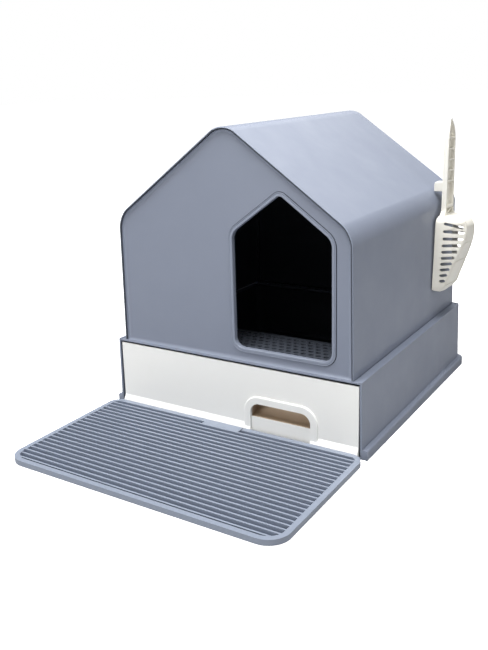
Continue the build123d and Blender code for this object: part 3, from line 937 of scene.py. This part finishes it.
@dataclass
class Drawer(Assembly):
    """The litter drawer: a white front with an arched pull, the tray, the finger cup and the screws."""

    body: str = "drawer"
    thickness: float = 3.0 * MM
    flare_height: float = 14.0 * MM
    flare_edge: float = 3.5 * MM
    pull_middle: float = 85.5 * MM
    pull_half: float = 49.0 * MM
    pull_top: float = 50.0 * MM
    pull_corner: float = 15.0 * MM
    band: float = 11.0 * MM
    band_rise: float = 2.5 * MM
    band_root: float = 1.0 * MM
    band_round: float = 1.6 * MM
    recess: float = 0.8 * MM
    sill: float = 27.5 * MM
    hole_gap: float = 0.1 * MM
    edge: float = 0.8 * MM
    cup_wall: float = 2.0 * MM
    cup_top_round: float = 7.0 * MM
    cup_low_round: float = 17.0 * MM
    cup_edge: float = 0.5 * MM
    low: Vector = field(default_factory=lambda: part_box("drawer_front")[0])
    high: Vector = field(default_factory=lambda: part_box("drawer_front")[1])

    def arch(self, name: str, grow: float, front: float, back: float, low: float) -> Piece:
        """Add a block with two rounded upper corners, as wide as the pull and what it grows by.

        Args:
            name: the piece's name.
            grow: how far it is larger than the pull.
            front: its front face.
            back: its back face.
            low: its underside.

        Returns:
            The new object.
        """
        half = self.pull_half + grow
        top = self.pull_top + grow
        piece = block(name, (self.pull_middle - half, front, low), (self.pull_middle + half, back, top))
        with editing(piece):
            round_edges(
                piece, lambda at, way: abs(way.y) > 0.9 and at.z > top - NEAR, self.pull_corner + grow, 14
            )
        return piece

    def front(self) -> Piece:
        """Build the white front.

        Returns:
            The front.
        """
        back = self.high.y
        face = back - self.thickness
        lip = self.low.y
        crease = self.low.z + self.flare_height
        plate = block("drawer_face", (self.low.x, face, self.low.z), self.high)
        with editing(plate):
            bpy.ops.mesh.select_all(action="SELECT")
            bpy.ops.mesh.bisect(plane_co=(0, 0, crease), plane_no=(0, 0, 1))
            pick(plate, Pick.FACE, lambda at, way: way.y < -0.9 and at.z < crease)
            pull_out((0, lip - face, 0))
            pick(plate, Pick.POINT, lambda at, _: at.y < lip + NEAR and at.z > crease - NEAR)
            slide((0, 0, self.flare_edge - self.flare_height))
        crest = face - self.band_rise
        band = self.arch("pull_band", self.band, crest, face + self.band_root, self.low.z)
        with editing(band):
            pick(
                band, Pick.EDGE,
                lambda at, way: at.y < crest + NEAR and abs(way.y) < 0.1 and at.z > self.low.z + MM,
            )
            bpy.ops.mesh.bevel(offset=self.band_round, segments=5, affect="EDGES")
        join(plate, band, Join.ADD)
        join(plate, self.arch("pull_recess", 0.0, lip - PAST, face + self.recess, self.low.z - PAST), Join.CUT)
        soften(plate, self.edge, 3, 35.0)
        join(plate, self.arch("pull_hole", -self.hole_gap, face, back + PAST, self.sill), Join.CUT)
        take(plate)
        bpy.ops.object.shade_smooth_by_angle(angle=math.radians(35.0))
        with editing(plate):
            # The broad faces are flat right up to their edges, so they show no soft patches.
            pick(plate, Pick.FACE, lambda _, way: abs(way.y) > 0.999)
            bpy.ops.mesh.faces_shade_flat()
        return plate

    def cup(self) -> Piece:
        """Build the rounded cup behind the pull.

        Returns:
            The cup.
        """
        low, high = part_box("finger_cup")
        back = high.y - NEAR
        low_edge = low.z + MM
        cup = block("pull_cup", low, high)
        with editing(cup):
            round_edges(
                cup, lambda at, way: abs(way.x) > 0.9 and at.y > back and at.z > low_edge,
                self.cup_top_round, 8,
            )
            round_edges(
                cup, lambda at, way: abs(way.x) > 0.9 and at.y > back and at.z < low_edge,
                self.cup_low_round, 12,
            )
            pick(cup, Pick.FACE, lambda _, way: way.y < -0.9)
            bpy.ops.mesh.delete(type="FACE")
        modify(cup, "SOLIDIFY", thickness=self.cup_wall, offset=-1.0, use_even_offset=True)
        soften(cup, self.cup_edge, 2, 60.0)
        smooth(cup, 40.0)
        return cup

    def build(self) -> None:
        """Build the drawer and dress it."""
        self.dress(self.front(), WHITE, "white_plastic", "drawer_front")
        # The cup's beige is partly its own warm tone and partly painted shade.
        self.dress(self.cup(), BEIGE_WITH_PAINTED_SHADE, "beige_plastic", "finger_cup")
        # The tray takes the darker slate: painted shade, so the inside of the hood reads dark.
        self.keep("drawer_tray", SLATE_PAINTED_SHADE)
        self.keep("drawer_front_screws", ZINC)


@dataclass
class Step(Assembly):
    """The perforated step inside the doorway."""

    body: str = "step"

    def build(self) -> None:
        """Dress the step."""
        # The step takes the darker slate: painted shade inside the doorway.
        self.keep("step_deck", SLATE_PAINTED_SHADE)


@dataclass
class Scoop(Assembly):
    """The litter scoop: a slotted bowl and a channelled handle, hung with its open side to the hood."""

    body: str = "scoop"
    turn: float = 6.0
    depth: float = 45.0 * MM
    wall: float = 2.2 * MM
    length: float = 119.5 * MM
    lip_half: float = 41.0 * MM
    heel_half: float = 34.5 * MM
    bow: float = 8.6 * MM
    lip_depth: float = 3.0 * MM
    toe_depth: float = 15.5 * MM
    toe_half: float = 25.5 * MM
    crown_half: float = 16.8 * MM
    toe: float = 4.0 * MM
    knee: float = 84.0 * MM
    knee_blend: float = 11.0 * MM
    heel_round: float = 20.0 * MM
    heel_corner: float = 12.0 * MM
    slots: int = 10
    slot_width: float = 5.2 * MM
    slot_reach: float = 70.0 * MM
    # The heights, tilts in degrees, starts and end margins of the fan's slots: the lowest slot's, then the change.
    slot_heights: tuple = (13.0 * MM, 87.0 * MM, 9.0 * MM)
    slot_tilts: tuple = (10.0, 11.5, 12.5)
    slot_starts: tuple = (8.0 * MM, 3.5 * MM)
    slot_margins: tuple = (1.6 * MM, 1.4 * MM)
    # The depth and height of each heel groove, and its tilt in degrees.
    heel_grooves: tuple = (
        (44.0 * MM, 105.5 * MM, 19.0), (44.5 * MM, 109.5 * MM, 24.0), (44.5 * MM, 113.0 * MM, 29.0),
    )
    heel_plain: float = 13.0 * MM
    groove_width: float = 1.2 * MM
    groove_bite: float = 1.1 * MM
    groove_reach: float = 60.0 * MM
    # The lower and upper end of each sunk field.
    fields: tuple = ((5.0 * MM, 43.5 * MM), (46.5 * MM, 74.0 * MM), (77.0 * MM, 104.0 * MM))
    field_margin: float = 4.0 * MM
    field_bite: float = 1.0 * MM
    handle_depth: float = 8.0 * MM
    handle_floor: float = 2.0 * MM
    handle_low_half: float = 14.5 * MM
    handle_high_half: float = 13.0 * MM
    # The height and half width of each level of the flare, from the handle down into the heel.
    flare: tuple = (
        (127.5 * MM, 15.2 * MM), (123.5 * MM, 16.8 * MM), (120.5 * MM, 19.5 * MM), (118.0 * MM, 24.0 * MM),
        (115.5 * MM, 28.0 * MM), (102.0 * MM, 30.0 * MM),
    )
    cells: float = 133.0 * MM
    plain_cell: float = 40.0 * MM
    ribs: int = 5
    rib: float = 2.0 * MM
    rib_gap: float = 1.0 * MM
    rib_pitch: float = 17.2 * MM
    straight: float = 241.0 * MM
    tip: float = 274.0 * MM
    # The tip's width at each share of its length, and how far it thins above each height.
    tip_widths: tuple = ((0.2, 0.95), (0.42, 0.82), (0.62, 0.64), (0.8, 0.42), (0.92, 0.22), (1.0, 0.05))
    tip_squeezes: tuple = (
        (243 * MM, 0.96), (249 * MM, 0.93), (256 * MM, 0.88),
        (262 * MM, 0.8), (267 * MM, 0.72), (271 * MM, 0.6),
    )
    tip_middle: float = 5.0 * MM
    pocket_low: float = 121.6 * MM
    pocket_wall: float = 1.8 * MM
    gusset: float = 1.8 * MM
    gusset_tilt: float = 60.0
    gusset_end: float = 9.0 * MM
    eye_half: float = 5.5 * MM
    eye_height: float = 14.0 * MM
    eye_depth: float = 4.0 * MM
    eye_corner: float = 4.0 * MM
    eye_gap: float = 0.4 * MM
    place: Vector = field(default_factory=lambda: Vector((203.16 * MM, 135.0 * MM, 164.0 * MM)))

    def depth_at(self, height: float) -> float:
        """How deep the bowl is at a height.

        Args:
            height: the height above the lip's corners.

        Returns:
            The depth from the plane of its rim.
        """
        if height < self.toe:
            share = (height + self.bow) / (self.toe + self.bow)
            return self.lip_depth + (self.toe_depth - self.lip_depth) * max(0.0, share) ** 0.8
        slope = (self.depth - self.toe_depth) / (self.knee - self.toe)
        start, end = self.knee - self.knee_blend, self.knee + self.knee_blend
        if height < start:
            depth = self.toe_depth + slope * (height - self.toe)
        else:
            depth = self.depth - slope * max(0.0, end - height) ** 2 / (2 * (end - start))
        over = height - (self.length - self.heel_round)
        if over > 0:
            depth -= self.heel_round - math.sqrt(max(0.0, self.heel_round ** 2 - over ** 2))
        return depth

    def half_at(self, height: float) -> float:
        """Half the bowl's width at its rim.

        Args:
            height: the height above the lip's corners.

        Returns:
            Half the width.
        """
        half = self.lip_half + (self.heel_half - self.lip_half) * height / self.length
        over = height - (self.length - self.heel_corner)
        if over > 0:
            half -= self.heel_corner - math.sqrt(max(0.0, self.heel_corner ** 2 - over ** 2))
        return half

    def outer_at(self, height: float) -> float:
        """Half the bowl's width across its bottom, at a height above the lip's corners."""
        share = max(0.0, height) / self.length
        return self.toe_half - (self.toe_half - self.crown_half) * share ** 2.5

    def core(self, name: str, set_in: float) -> Piece:
        """Extrude the bowl's body upwards from its lip, level by level.

        Args:
            name: the piece's name.
            set_in: how far it is smaller than the outside, for the hollow.

        Returns:
            The new object.
        """
        start = 1.0 * MM - self.bow
        heights = [start + (self.toe - start) * step / 4 for step in range(4)]
        heights += [self.toe + (self.length - self.heel_round - self.toe) * step / 16 for step in range(17)]
        turns = [math.pi / 2 * step / 9 for step in range(1, 10)]
        heights += [self.length - self.heel_round * (1 - math.sin(turn)) for turn in turns]
        sizes = []
        for height in heights:
            deep = max(self.depth_at(height) - set_in, 0.6 * MM)
            half = self.half_at(height) - set_in
            sizes.append((deep, half, min(self.outer_at(height) - set_in, half - 0.4 * deep)))
        deep, half, outer = sizes[0]
        first = heights[0] - 1.0 * MM
        core = block(name, (0, -half, first), (deep, half, heights[0]))
        with editing(core):
            pick(core, Pick.POINT, lambda at, _: at.x > deep - NEAR)
            stretch((1, outer / half, 1), (0, 0, 0))
            level = heights[0]
            for height, (next_deep, next_half, next_outer) in zip(heights[1:], sizes[1:]):
                pick(core, Pick.FACE, lambda at, way: way.z > 0.99 and at.z > level - NEAR)
                pull_out((0, 0, height - level))
                stretch((next_deep / deep, next_half / half, 1), (0, 0, 0))
                pick(core, Pick.POINT, lambda at, _: at.z > height - NEAR and at.x > next_deep - NEAR)
                stretch((1, next_outer / (outer * next_half / half), 1), (0, 0, 0))
                deep, half, outer = next_deep, next_half, next_outer
                level = height
            pick(core, Pick.EDGE, lambda at, way: abs(way.y) < 0.9 and at.x > 0.4 * MM and at.z < level - NEAR)
            bpy.ops.mesh.bevel(offset=10.0, offset_pct=11.0, offset_type="PERCENT", segments=4, affect="EDGES")
        return core

    def lip_drum(self, name: str, set_in: float) -> Piece:
        """A drum whose underside follows the lip's bow.

        Args:
            name: the piece's name.
            set_in: how far it is smaller than the outside.

        Returns:
            The new object.
        """
        radius = (self.lip_half ** 2 + self.bow ** 2) / (2 * self.bow)
        high = radius - self.bow
        return rod(name, radius - set_in, (-PAST, 0, high), (self.depth + PAST, 0, high), 160)

    def skin(self, cutter: Piece, depth: float) -> Piece:
        """Keep only the share of a cutter that bites into the bowl's skin.

        Args:
            cutter: the cutter, which runs right through the bowl.
            depth: how deep it may bite.

        Returns:
            The same cutter.
        """
        join(cutter, self.core("skin_core", depth), Join.CUT)
        return cutter

    def grooves(self) -> Piece:
        """The nested grooves that wrap the heel.

        Returns:
            Their cutter.
        """
        cutter = None
        half, wide = self.groove_width / 2, self.groove_reach
        inward, outward = 30.0 * MM, 6.0 * MM
        for depth, height, tilt in self.heel_grooves:
            plate = block("heel_groove", (-inward, -wide, -half), (outward, wide, half))
            with editing(plate):
                bpy.ops.mesh.select_all(action="SELECT")
                bpy.ops.transform.rotate(
                    value=math.radians(tilt), orient_axis="Y", orient_type="GLOBAL", center_override=(0, 0, 0)
                )
                slide((depth, 0, height))
            if cutter:
                join(cutter, plate, Join.ADD)
            else:
                cutter = plate
        middle = block(
            "heel_middle", (0, -self.heel_plain, 80 * MM), (wide, self.heel_plain, 80 * MM + wide)
        )
        join(cutter, middle, Join.CUT)
        return self.skin(cutter, self.groove_bite)

    def panels(self) -> Piece:
        """The sunk fields between the ridges of the bowl's bottom.

        Returns:
            Their cutter.
        """
        fields = None
        for low, high in self.fields:
            start, end = (self.outer_at(at) - self.field_margin for at in (low, high))
            panel = block("panel", (PAST, -start, low), (self.groove_reach, start, high))
            with editing(panel):
                pick(panel, Pick.POINT, lambda at, _: at.z > high - NEAR)
                stretch((1, end / start, 1), (0, 0, 0))
            if fields:
                join(fields, panel, Join.ADD)
            else:
                fields = panel
        return self.skin(fields, self.field_bite)

    def slot(self, share: float) -> Piece:
        """One slot of the fan through both sides of the bowl.

        Args:
            share: its place in the fan, from 0 at the lip to 1 at the heel.

        Returns:
            Its cutter.
        """
        lowest, run, more = self.slot_heights
        middle = lowest + run * share + more * share ** 4
        first, fall, last_fall = self.slot_tilts
        tilt = math.radians(first - fall * share - last_fall * share ** 16)
        start = self.slot_starts[0] + self.slot_starts[1] * share
        low = middle - self.slot_width / 2
        end = self.depth_at(low) - self.slot_margins[0] - self.slot_margins[1] * share
        wide = self.slot_reach
        cutter = block("slot", (start, -wide, low), (end, wide, low + self.slot_width))
        with editing(cutter):
            bpy.ops.mesh.select_all(action="SELECT")
            bpy.ops.transform.rotate(
                value=tilt, orient_axis="Y", orient_type="GLOBAL", center_override=(start, 0, middle)
            )
            round_edges(cutter, lambda at, way: abs(way.y) > 0.9, self.slot_width * 0.46, 6)
        return cutter

    def handle(self) -> Piece:
        """The channelled handle with its ribs and pointed end, flared into the bowl's heel.

        Returns:
            The new object.
        """
        low_half, high_half = self.handle_low_half, self.handle_high_half
        handle = block("handle", (0, -low_half, self.cells), (self.handle_depth, low_half, self.straight))
        with editing(handle):
            pick(handle, Pick.POINT, lambda at, _: at.z > self.straight - NEAR)
            stretch((1, high_half / low_half, 1), (0, 0, 0))
            half, level = high_half, self.straight
            for share, width in self.tip_widths:
                pick(handle, Pick.FACE, lambda at, way: way.z > 0.99 and at.z > level - NEAR)
                height = self.straight + share * (self.tip - self.straight)
                pull_out((0, 0, height - level))
                stretch((1, high_half * width / half, 1), (0, 0, 0))
                half, level = high_half * width, height
            pick(handle, Pick.FACE, lambda at, way: way.x > 0.99)
            inset(self.wall)
            pull_out((self.handle_floor - self.handle_depth, 0, 0))
            for height, squeeze in self.tip_squeezes:
                pick(handle, Pick.POINT, lambda at, _: at.z > height)
                stretch((squeeze, 1, 1), (self.tip_middle, 0, 0))
            half, level = low_half, self.cells
            for height, width in self.flare:
                pick(handle, Pick.FACE, lambda at, way: way.z < -0.99 and at.z < level + NEAR)
                pull_out((0, 0, height - level))
                stretch((1, width / half, 1), (0, 0, 0))
                half, level = width, height
        low = self.cells + self.plain_cell
        reach = self.handle_depth - 0.6 * MM
        rib_half = high_half - self.rib_gap
        ribs = block("handle_ribs", (MM, -rib_half, low), (reach, rib_half, low + self.rib))
        modify(
            ribs, "ARRAY", count=self.ribs, use_relative_offset=False, use_constant_offset=True,
            constant_offset_displace=(0, 0, self.rib_pitch),
        )
        join(handle, ribs, Join.ADD)
        return handle

    def root_pocket(self) -> Piece:
        """The recess at the handle's root, crossed by a gusset.

        Returns:
            Its cutter.
        """
        low, high = self.pocket_low, self.cells - self.pocket_wall
        half, thin = self.handle_low_half - self.wall, self.gusset / 2
        pocket = block("root_pocket", (self.handle_floor, -half, low), (self.handle_depth + PAST, half, high))
        gusset = block(
            "gusset", (0, -thin, low - self.gusset_end), (self.handle_depth - MM, thin, high + self.gusset_end)
        )
        with editing(gusset):
            bpy.ops.mesh.select_all(action="SELECT")
            bpy.ops.transform.rotate(
                value=math.radians(self.gusset_tilt), orient_axis="X", orient_type="GLOBAL",
                center_override=(0, 0, (low + high) / 2),
            )
        join(pocket, gusset, Join.CUT)
        return pocket

    def moulding(self) -> Piece:
        """Put the scoop together and cut its hollow, its slots and the eye.

        Returns:
            The scoop, in its place on the hook.
        """
        scoop = self.core("scoop_moulding", 0.0)
        join(scoop, self.lip_drum("lip_drum", 0.0), Join.KEEP)
        join(scoop, self.handle(), Join.ADD)
        hollow = self.core("hollow", self.wall)
        with editing(hollow):
            pick(hollow, Pick.POINT, lambda at, _: at.x < NEAR)
            slide((-2 * MM, 0, 0))
        join(hollow, self.lip_drum("hollow_drum", self.wall), Join.KEEP)
        far = 100.0 * MM
        under = block("hollow_top", (-PAST, -far, -far / 2), (far, far, self.length - self.wall))
        join(hollow, under, Join.KEEP)
        join(scoop, hollow, Join.CUT)
        for cutter in (self.root_pocket(), self.grooves(), self.panels()):
            join(scoop, cutter, Join.CUT)
        for slot in range(self.slots):
            join(scoop, self.slot(slot / (self.slots - 1)), Join.CUT)
        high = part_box("scoop_hook")[1]
        top = high.z - self.place.z + self.eye_gap
        eye = block(
            "eye", (-PAST, -self.eye_half, top - self.eye_height), (self.eye_depth, self.eye_half, top)
        )
        with editing(eye):
            round_edges(eye, lambda at, way: abs(way.x) > 0.9, self.eye_corner, 6)
        join(scoop, eye, Join.CUT)
        take(scoop)
        scoop.rotation_euler = (0, 0, -math.radians(self.turn))
        scoop.location = self.place
        bpy.ops.object.transform_apply(location=True, rotation=True, scale=True)
        smooth(scoop, 30.0)
        return scoop

    def build(self) -> None:
        """Build the scoop and dress it."""
        self.dress(self.moulding(), CREAM, "cream_plastic", "scoop")


@dataclass
class Mat(Assembly):
    """The ribbed mat in front of the drawer, with its flat tab and its pads."""

    body: str = "mat"
    front_corner: float = 30.0 * MM
    back_corner: float = 20.0 * MM
    border: float = 7.8 * MM
    grooves: int = 22
    pitch: float = 10.2 * MM
    groove_width: float = 7.4 * MM
    groove_depth: float = 6.0 * MM
    bar_reach: float = 300.0 * MM
    start: float = 12.6 * MM
    edge_groove: float = 2.5 * MM
    tab_low: float = -38.0 * MM
    tab_high: float = 26.0 * MM
    tab_depth: float = 17.0 * MM
    slit: float = 1.5 * MM
    edge: float = 0.9 * MM
    low: Vector = field(default_factory=lambda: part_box("mat_board")[0])
    high: Vector = field(default_factory=lambda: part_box("mat_board")[1])

    def slab(self, name: str, set_in: float, low: float, high: float) -> Piece:
        """Add the mat's outline as a slab, set in evenly.

        Args:
            name: the piece's name.
            set_in: how far it is smaller than the mat.
            low: its underside.
            high: its top.

        Returns:
            The new object.
        """
        half = self.high.x - set_in
        slab = block(name, (-half, self.low.y + set_in, low), (half, self.high.y - set_in, high))
        middle = (self.low.y + self.high.y) / 2
        with editing(slab):
            round_edges(
                slab, lambda at, way: abs(way.z) > 0.9 and at.y < middle, self.front_corner - set_in, 12
            )
            round_edges(
                slab,
                lambda at, way: abs(way.z) > 0.9 and at.y > self.high.y - set_in - NEAR,
                self.back_corner - set_in, 12,
            )
        return slab

    def board(self) -> Piece:
        """Build the ribbed board.

        Returns:
            The board.
        """
        board = self.slab("ribbed_board", 0.0, self.low.z, self.high.z)
        floor = self.high.z - self.groove_depth
        first = self.high.y - self.start
        wide, half = self.bar_reach, self.groove_width / 2
        # Each cutter ends at its own height above the mat, so that no two tops lie in one plane.
        tops = [20 * MM, 30 * MM, 40 * MM]
        bars = block("groove_bars", (-wide, first - half, floor), (wide, first + half, tops[0]))
        modify(
            bars, "ARRAY", count=self.grooves, use_relative_offset=False, use_constant_offset=True,
            constant_offset_displace=(0, -self.pitch, 0),
        )
        low = self.low.y + self.border - NEAR
        edge_groove = block("edge_groove", (-wide, low, floor), (wide, low + self.edge_groove, tops[0]))
        join(bars, edge_groove, Join.ADD)
        join(bars, self.slab("groove_field", self.border, floor - PAST, tops[1]), Join.KEEP)
        tab = block(
            "tab", (self.tab_low, self.high.y - self.tab_depth, floor - MM),
            (self.tab_high, self.high.y, tops[2]),
        )
        join(bars, tab, Join.CUT)
        join(board, bars, Join.CUT)
        slit = block(
            "slit", (self.tab_high, self.high.y - self.tab_depth, -MM),
            (self.tab_high + self.slit, self.high.y + PAST, tops[1]),
        )
        join(board, slit, Join.CUT)
        soften(board, self.edge, 3, 50.0)
        smooth(board, 40.0)
        return board

    def build(self) -> None:
        """Build the mat and dress it."""
        self.dress(self.board(), SLATE_MAT, "mat_plastic", "mat_board")
        self.keep("mat_pads", RUBBER)


# ------------------------------------------------------------------ studio

@dataclass
class Studio:
    """A pale floor, soft lamps and the camera."""

    eye: tuple = (0.59974, -1.14418, 0.50840)
    yaw: float = -34.481
    pitch: float = -14.54
    roll: float = -2.34
    lens: float = 43.74
    shift: tuple = (0.0596, -0.0587)
    room: float = 0.26
    glow: float = 0.85
    paper_lit: str = "b0b0b0"
    paper_seen: str = "f2f2f2"
    # Each softbox: its name, its place, the point that it faces, the length of its side and its watts.
    softboxes: tuple = (
        ("softbox_above", (0.0, -0.55, 2.2), (0, -0.1, 0.2), 1.3, 82.0),
        ("softbox_back", (-0.2, 1.8, 2.0), (0, 0, 0.3), 1.6, 18.0),
        ("softbox_front", (-0.7, -2.5, 0.7), (0, 0, 0.2), 0.9, 18.0),
        ("softbox_right", (2.2, -0.5, 0.9), (0, 0, 0.2), 1.2, 8.5),
    )

    def camera(self) -> None:
        """Set the camera at the photograph's angle."""
        yaw, pitch, roll = (math.radians(angle) for angle in (self.yaw, self.pitch, self.roll))
        ahead = Vector((math.sin(yaw) * math.cos(pitch), math.cos(yaw) * math.cos(pitch), math.sin(pitch)))
        right = Vector((math.cos(yaw), -math.sin(yaw), 0))
        up = right.cross(ahead)
        across = math.cos(roll) * right + math.sin(roll) * up
        above = -math.sin(roll) * right + math.cos(roll) * up
        data = bpy.data.cameras.new("camera")
        data.sensor_width = 36.0
        data.lens = self.lens
        data.shift_x, data.shift_y = self.shift
        data.clip_start, data.clip_end = 0.01, 100.0
        camera = bpy.data.objects.new("camera", data)
        turned = Matrix((across, above, -ahead)).transposed().to_4x4()
        camera.matrix_world = Matrix.Translation(self.eye) @ turned
        bpy.context.scene.collection.objects.link(camera)
        bpy.context.scene.camera = camera

    def lamp(self, name: str, place: tuple, aim: tuple, size: float, power: float) -> None:
        """Hang a square softbox.

        Args:
            name: the lamp's name.
            place: where it hangs.
            aim: the point that it faces.
            size: the length of its side.
            power: its power in watts.
        """
        data = bpy.data.lights.new(name, "AREA")
        data.shape = "SQUARE"
        data.size = size
        data.energy = power
        lamp = bpy.data.objects.new(name, data)
        lamp.location = place
        lamp.rotation_euler = (Vector(aim) - Vector(place)).to_track_quat("-Z", "Y").to_euler()
        bpy.context.scene.collection.objects.link(lamp)

    def floor(self) -> None:
        """Lay the floor, white to the camera and paler grey to the light that it throws back."""
        bpy.ops.object.select_all(action="DESELECT")
        bpy.ops.mesh.primitive_plane_add(size=40.0, location=(0, 0, 0))
        floor = settle("studio_floor")
        material = bpy.data.materials.new("studio_floor_paper")
        material.use_nodes = True
        tree = material.node_tree
        tree.nodes.clear()
        seen = add_node(tree, "ShaderNodeLightPath").outputs["Is Camera Ray"]
        paper = add_node(
            tree, "ShaderNodeMix",
            {"Factor": seen, "A": linear(self.paper_lit), "B": linear(self.paper_seen)}, data_type="RGBA",
        )
        matte = add_node(tree, "ShaderNodeBsdfDiffuse", {"Color": paper.outputs["Result"]})
        lift = add_node(tree, "ShaderNodeMath", {0: seen, 1: self.glow}, operation="MULTIPLY")
        glow = add_node(tree, "ShaderNodeEmission", {"Color": (1, 1, 1, 1), "Strength": lift.outputs[0]})
        both = add_node(tree, "ShaderNodeAddShader", {0: matte.outputs[0], 1: glow.outputs[0]})
        add_node(tree, "ShaderNodeOutputMaterial", {"Surface": both.outputs[0]})
        floor.data.materials.append(material)

    def surroundings(self) -> None:
        """Light the room evenly, white to the camera."""
        world = bpy.data.worlds.new("studio")
        bpy.context.scene.world = world
        world.use_nodes = True
        tree = world.node_tree
        tree.nodes.clear()
        path = add_node(tree, "ShaderNodeLightPath")
        seen = add_node(
            tree, "ShaderNodeMath",
            {0: path.outputs["Is Camera Ray"], 1: path.outputs["Is Transmission Ray"]}, operation="MAXIMUM",
        )
        level = add_node(
            tree, "ShaderNodeMapRange", {"Value": seen.outputs[0], "To Min": self.room, "To Max": 1.0}
        )
        room = add_node(
            tree, "ShaderNodeBackground", {"Color": (1, 1, 1, 1), "Strength": level.outputs["Result"]}
        )
        add_node(tree, "ShaderNodeOutputWorld", {"Surface": room.outputs[0]})

    def build(self) -> None:
        """Set up the studio."""
        self.camera()
        self.floor()
        self.surroundings()
        for softbox in self.softboxes:
            self.lamp(*softbox)
        bpy.context.scene.view_settings.view_transform = "Standard"


def main() -> None:
    """Build every sub-assembly and the studio."""
    logging.basicConfig(level=logging.INFO, format="%(name)s: %(message)s")
    for assembly in (Base(), Drawer(), Step(), Hood(), Scoop(), Mat()):
        assembly.build()
    Studio().build()


if __name__ == "__main__":
    main()
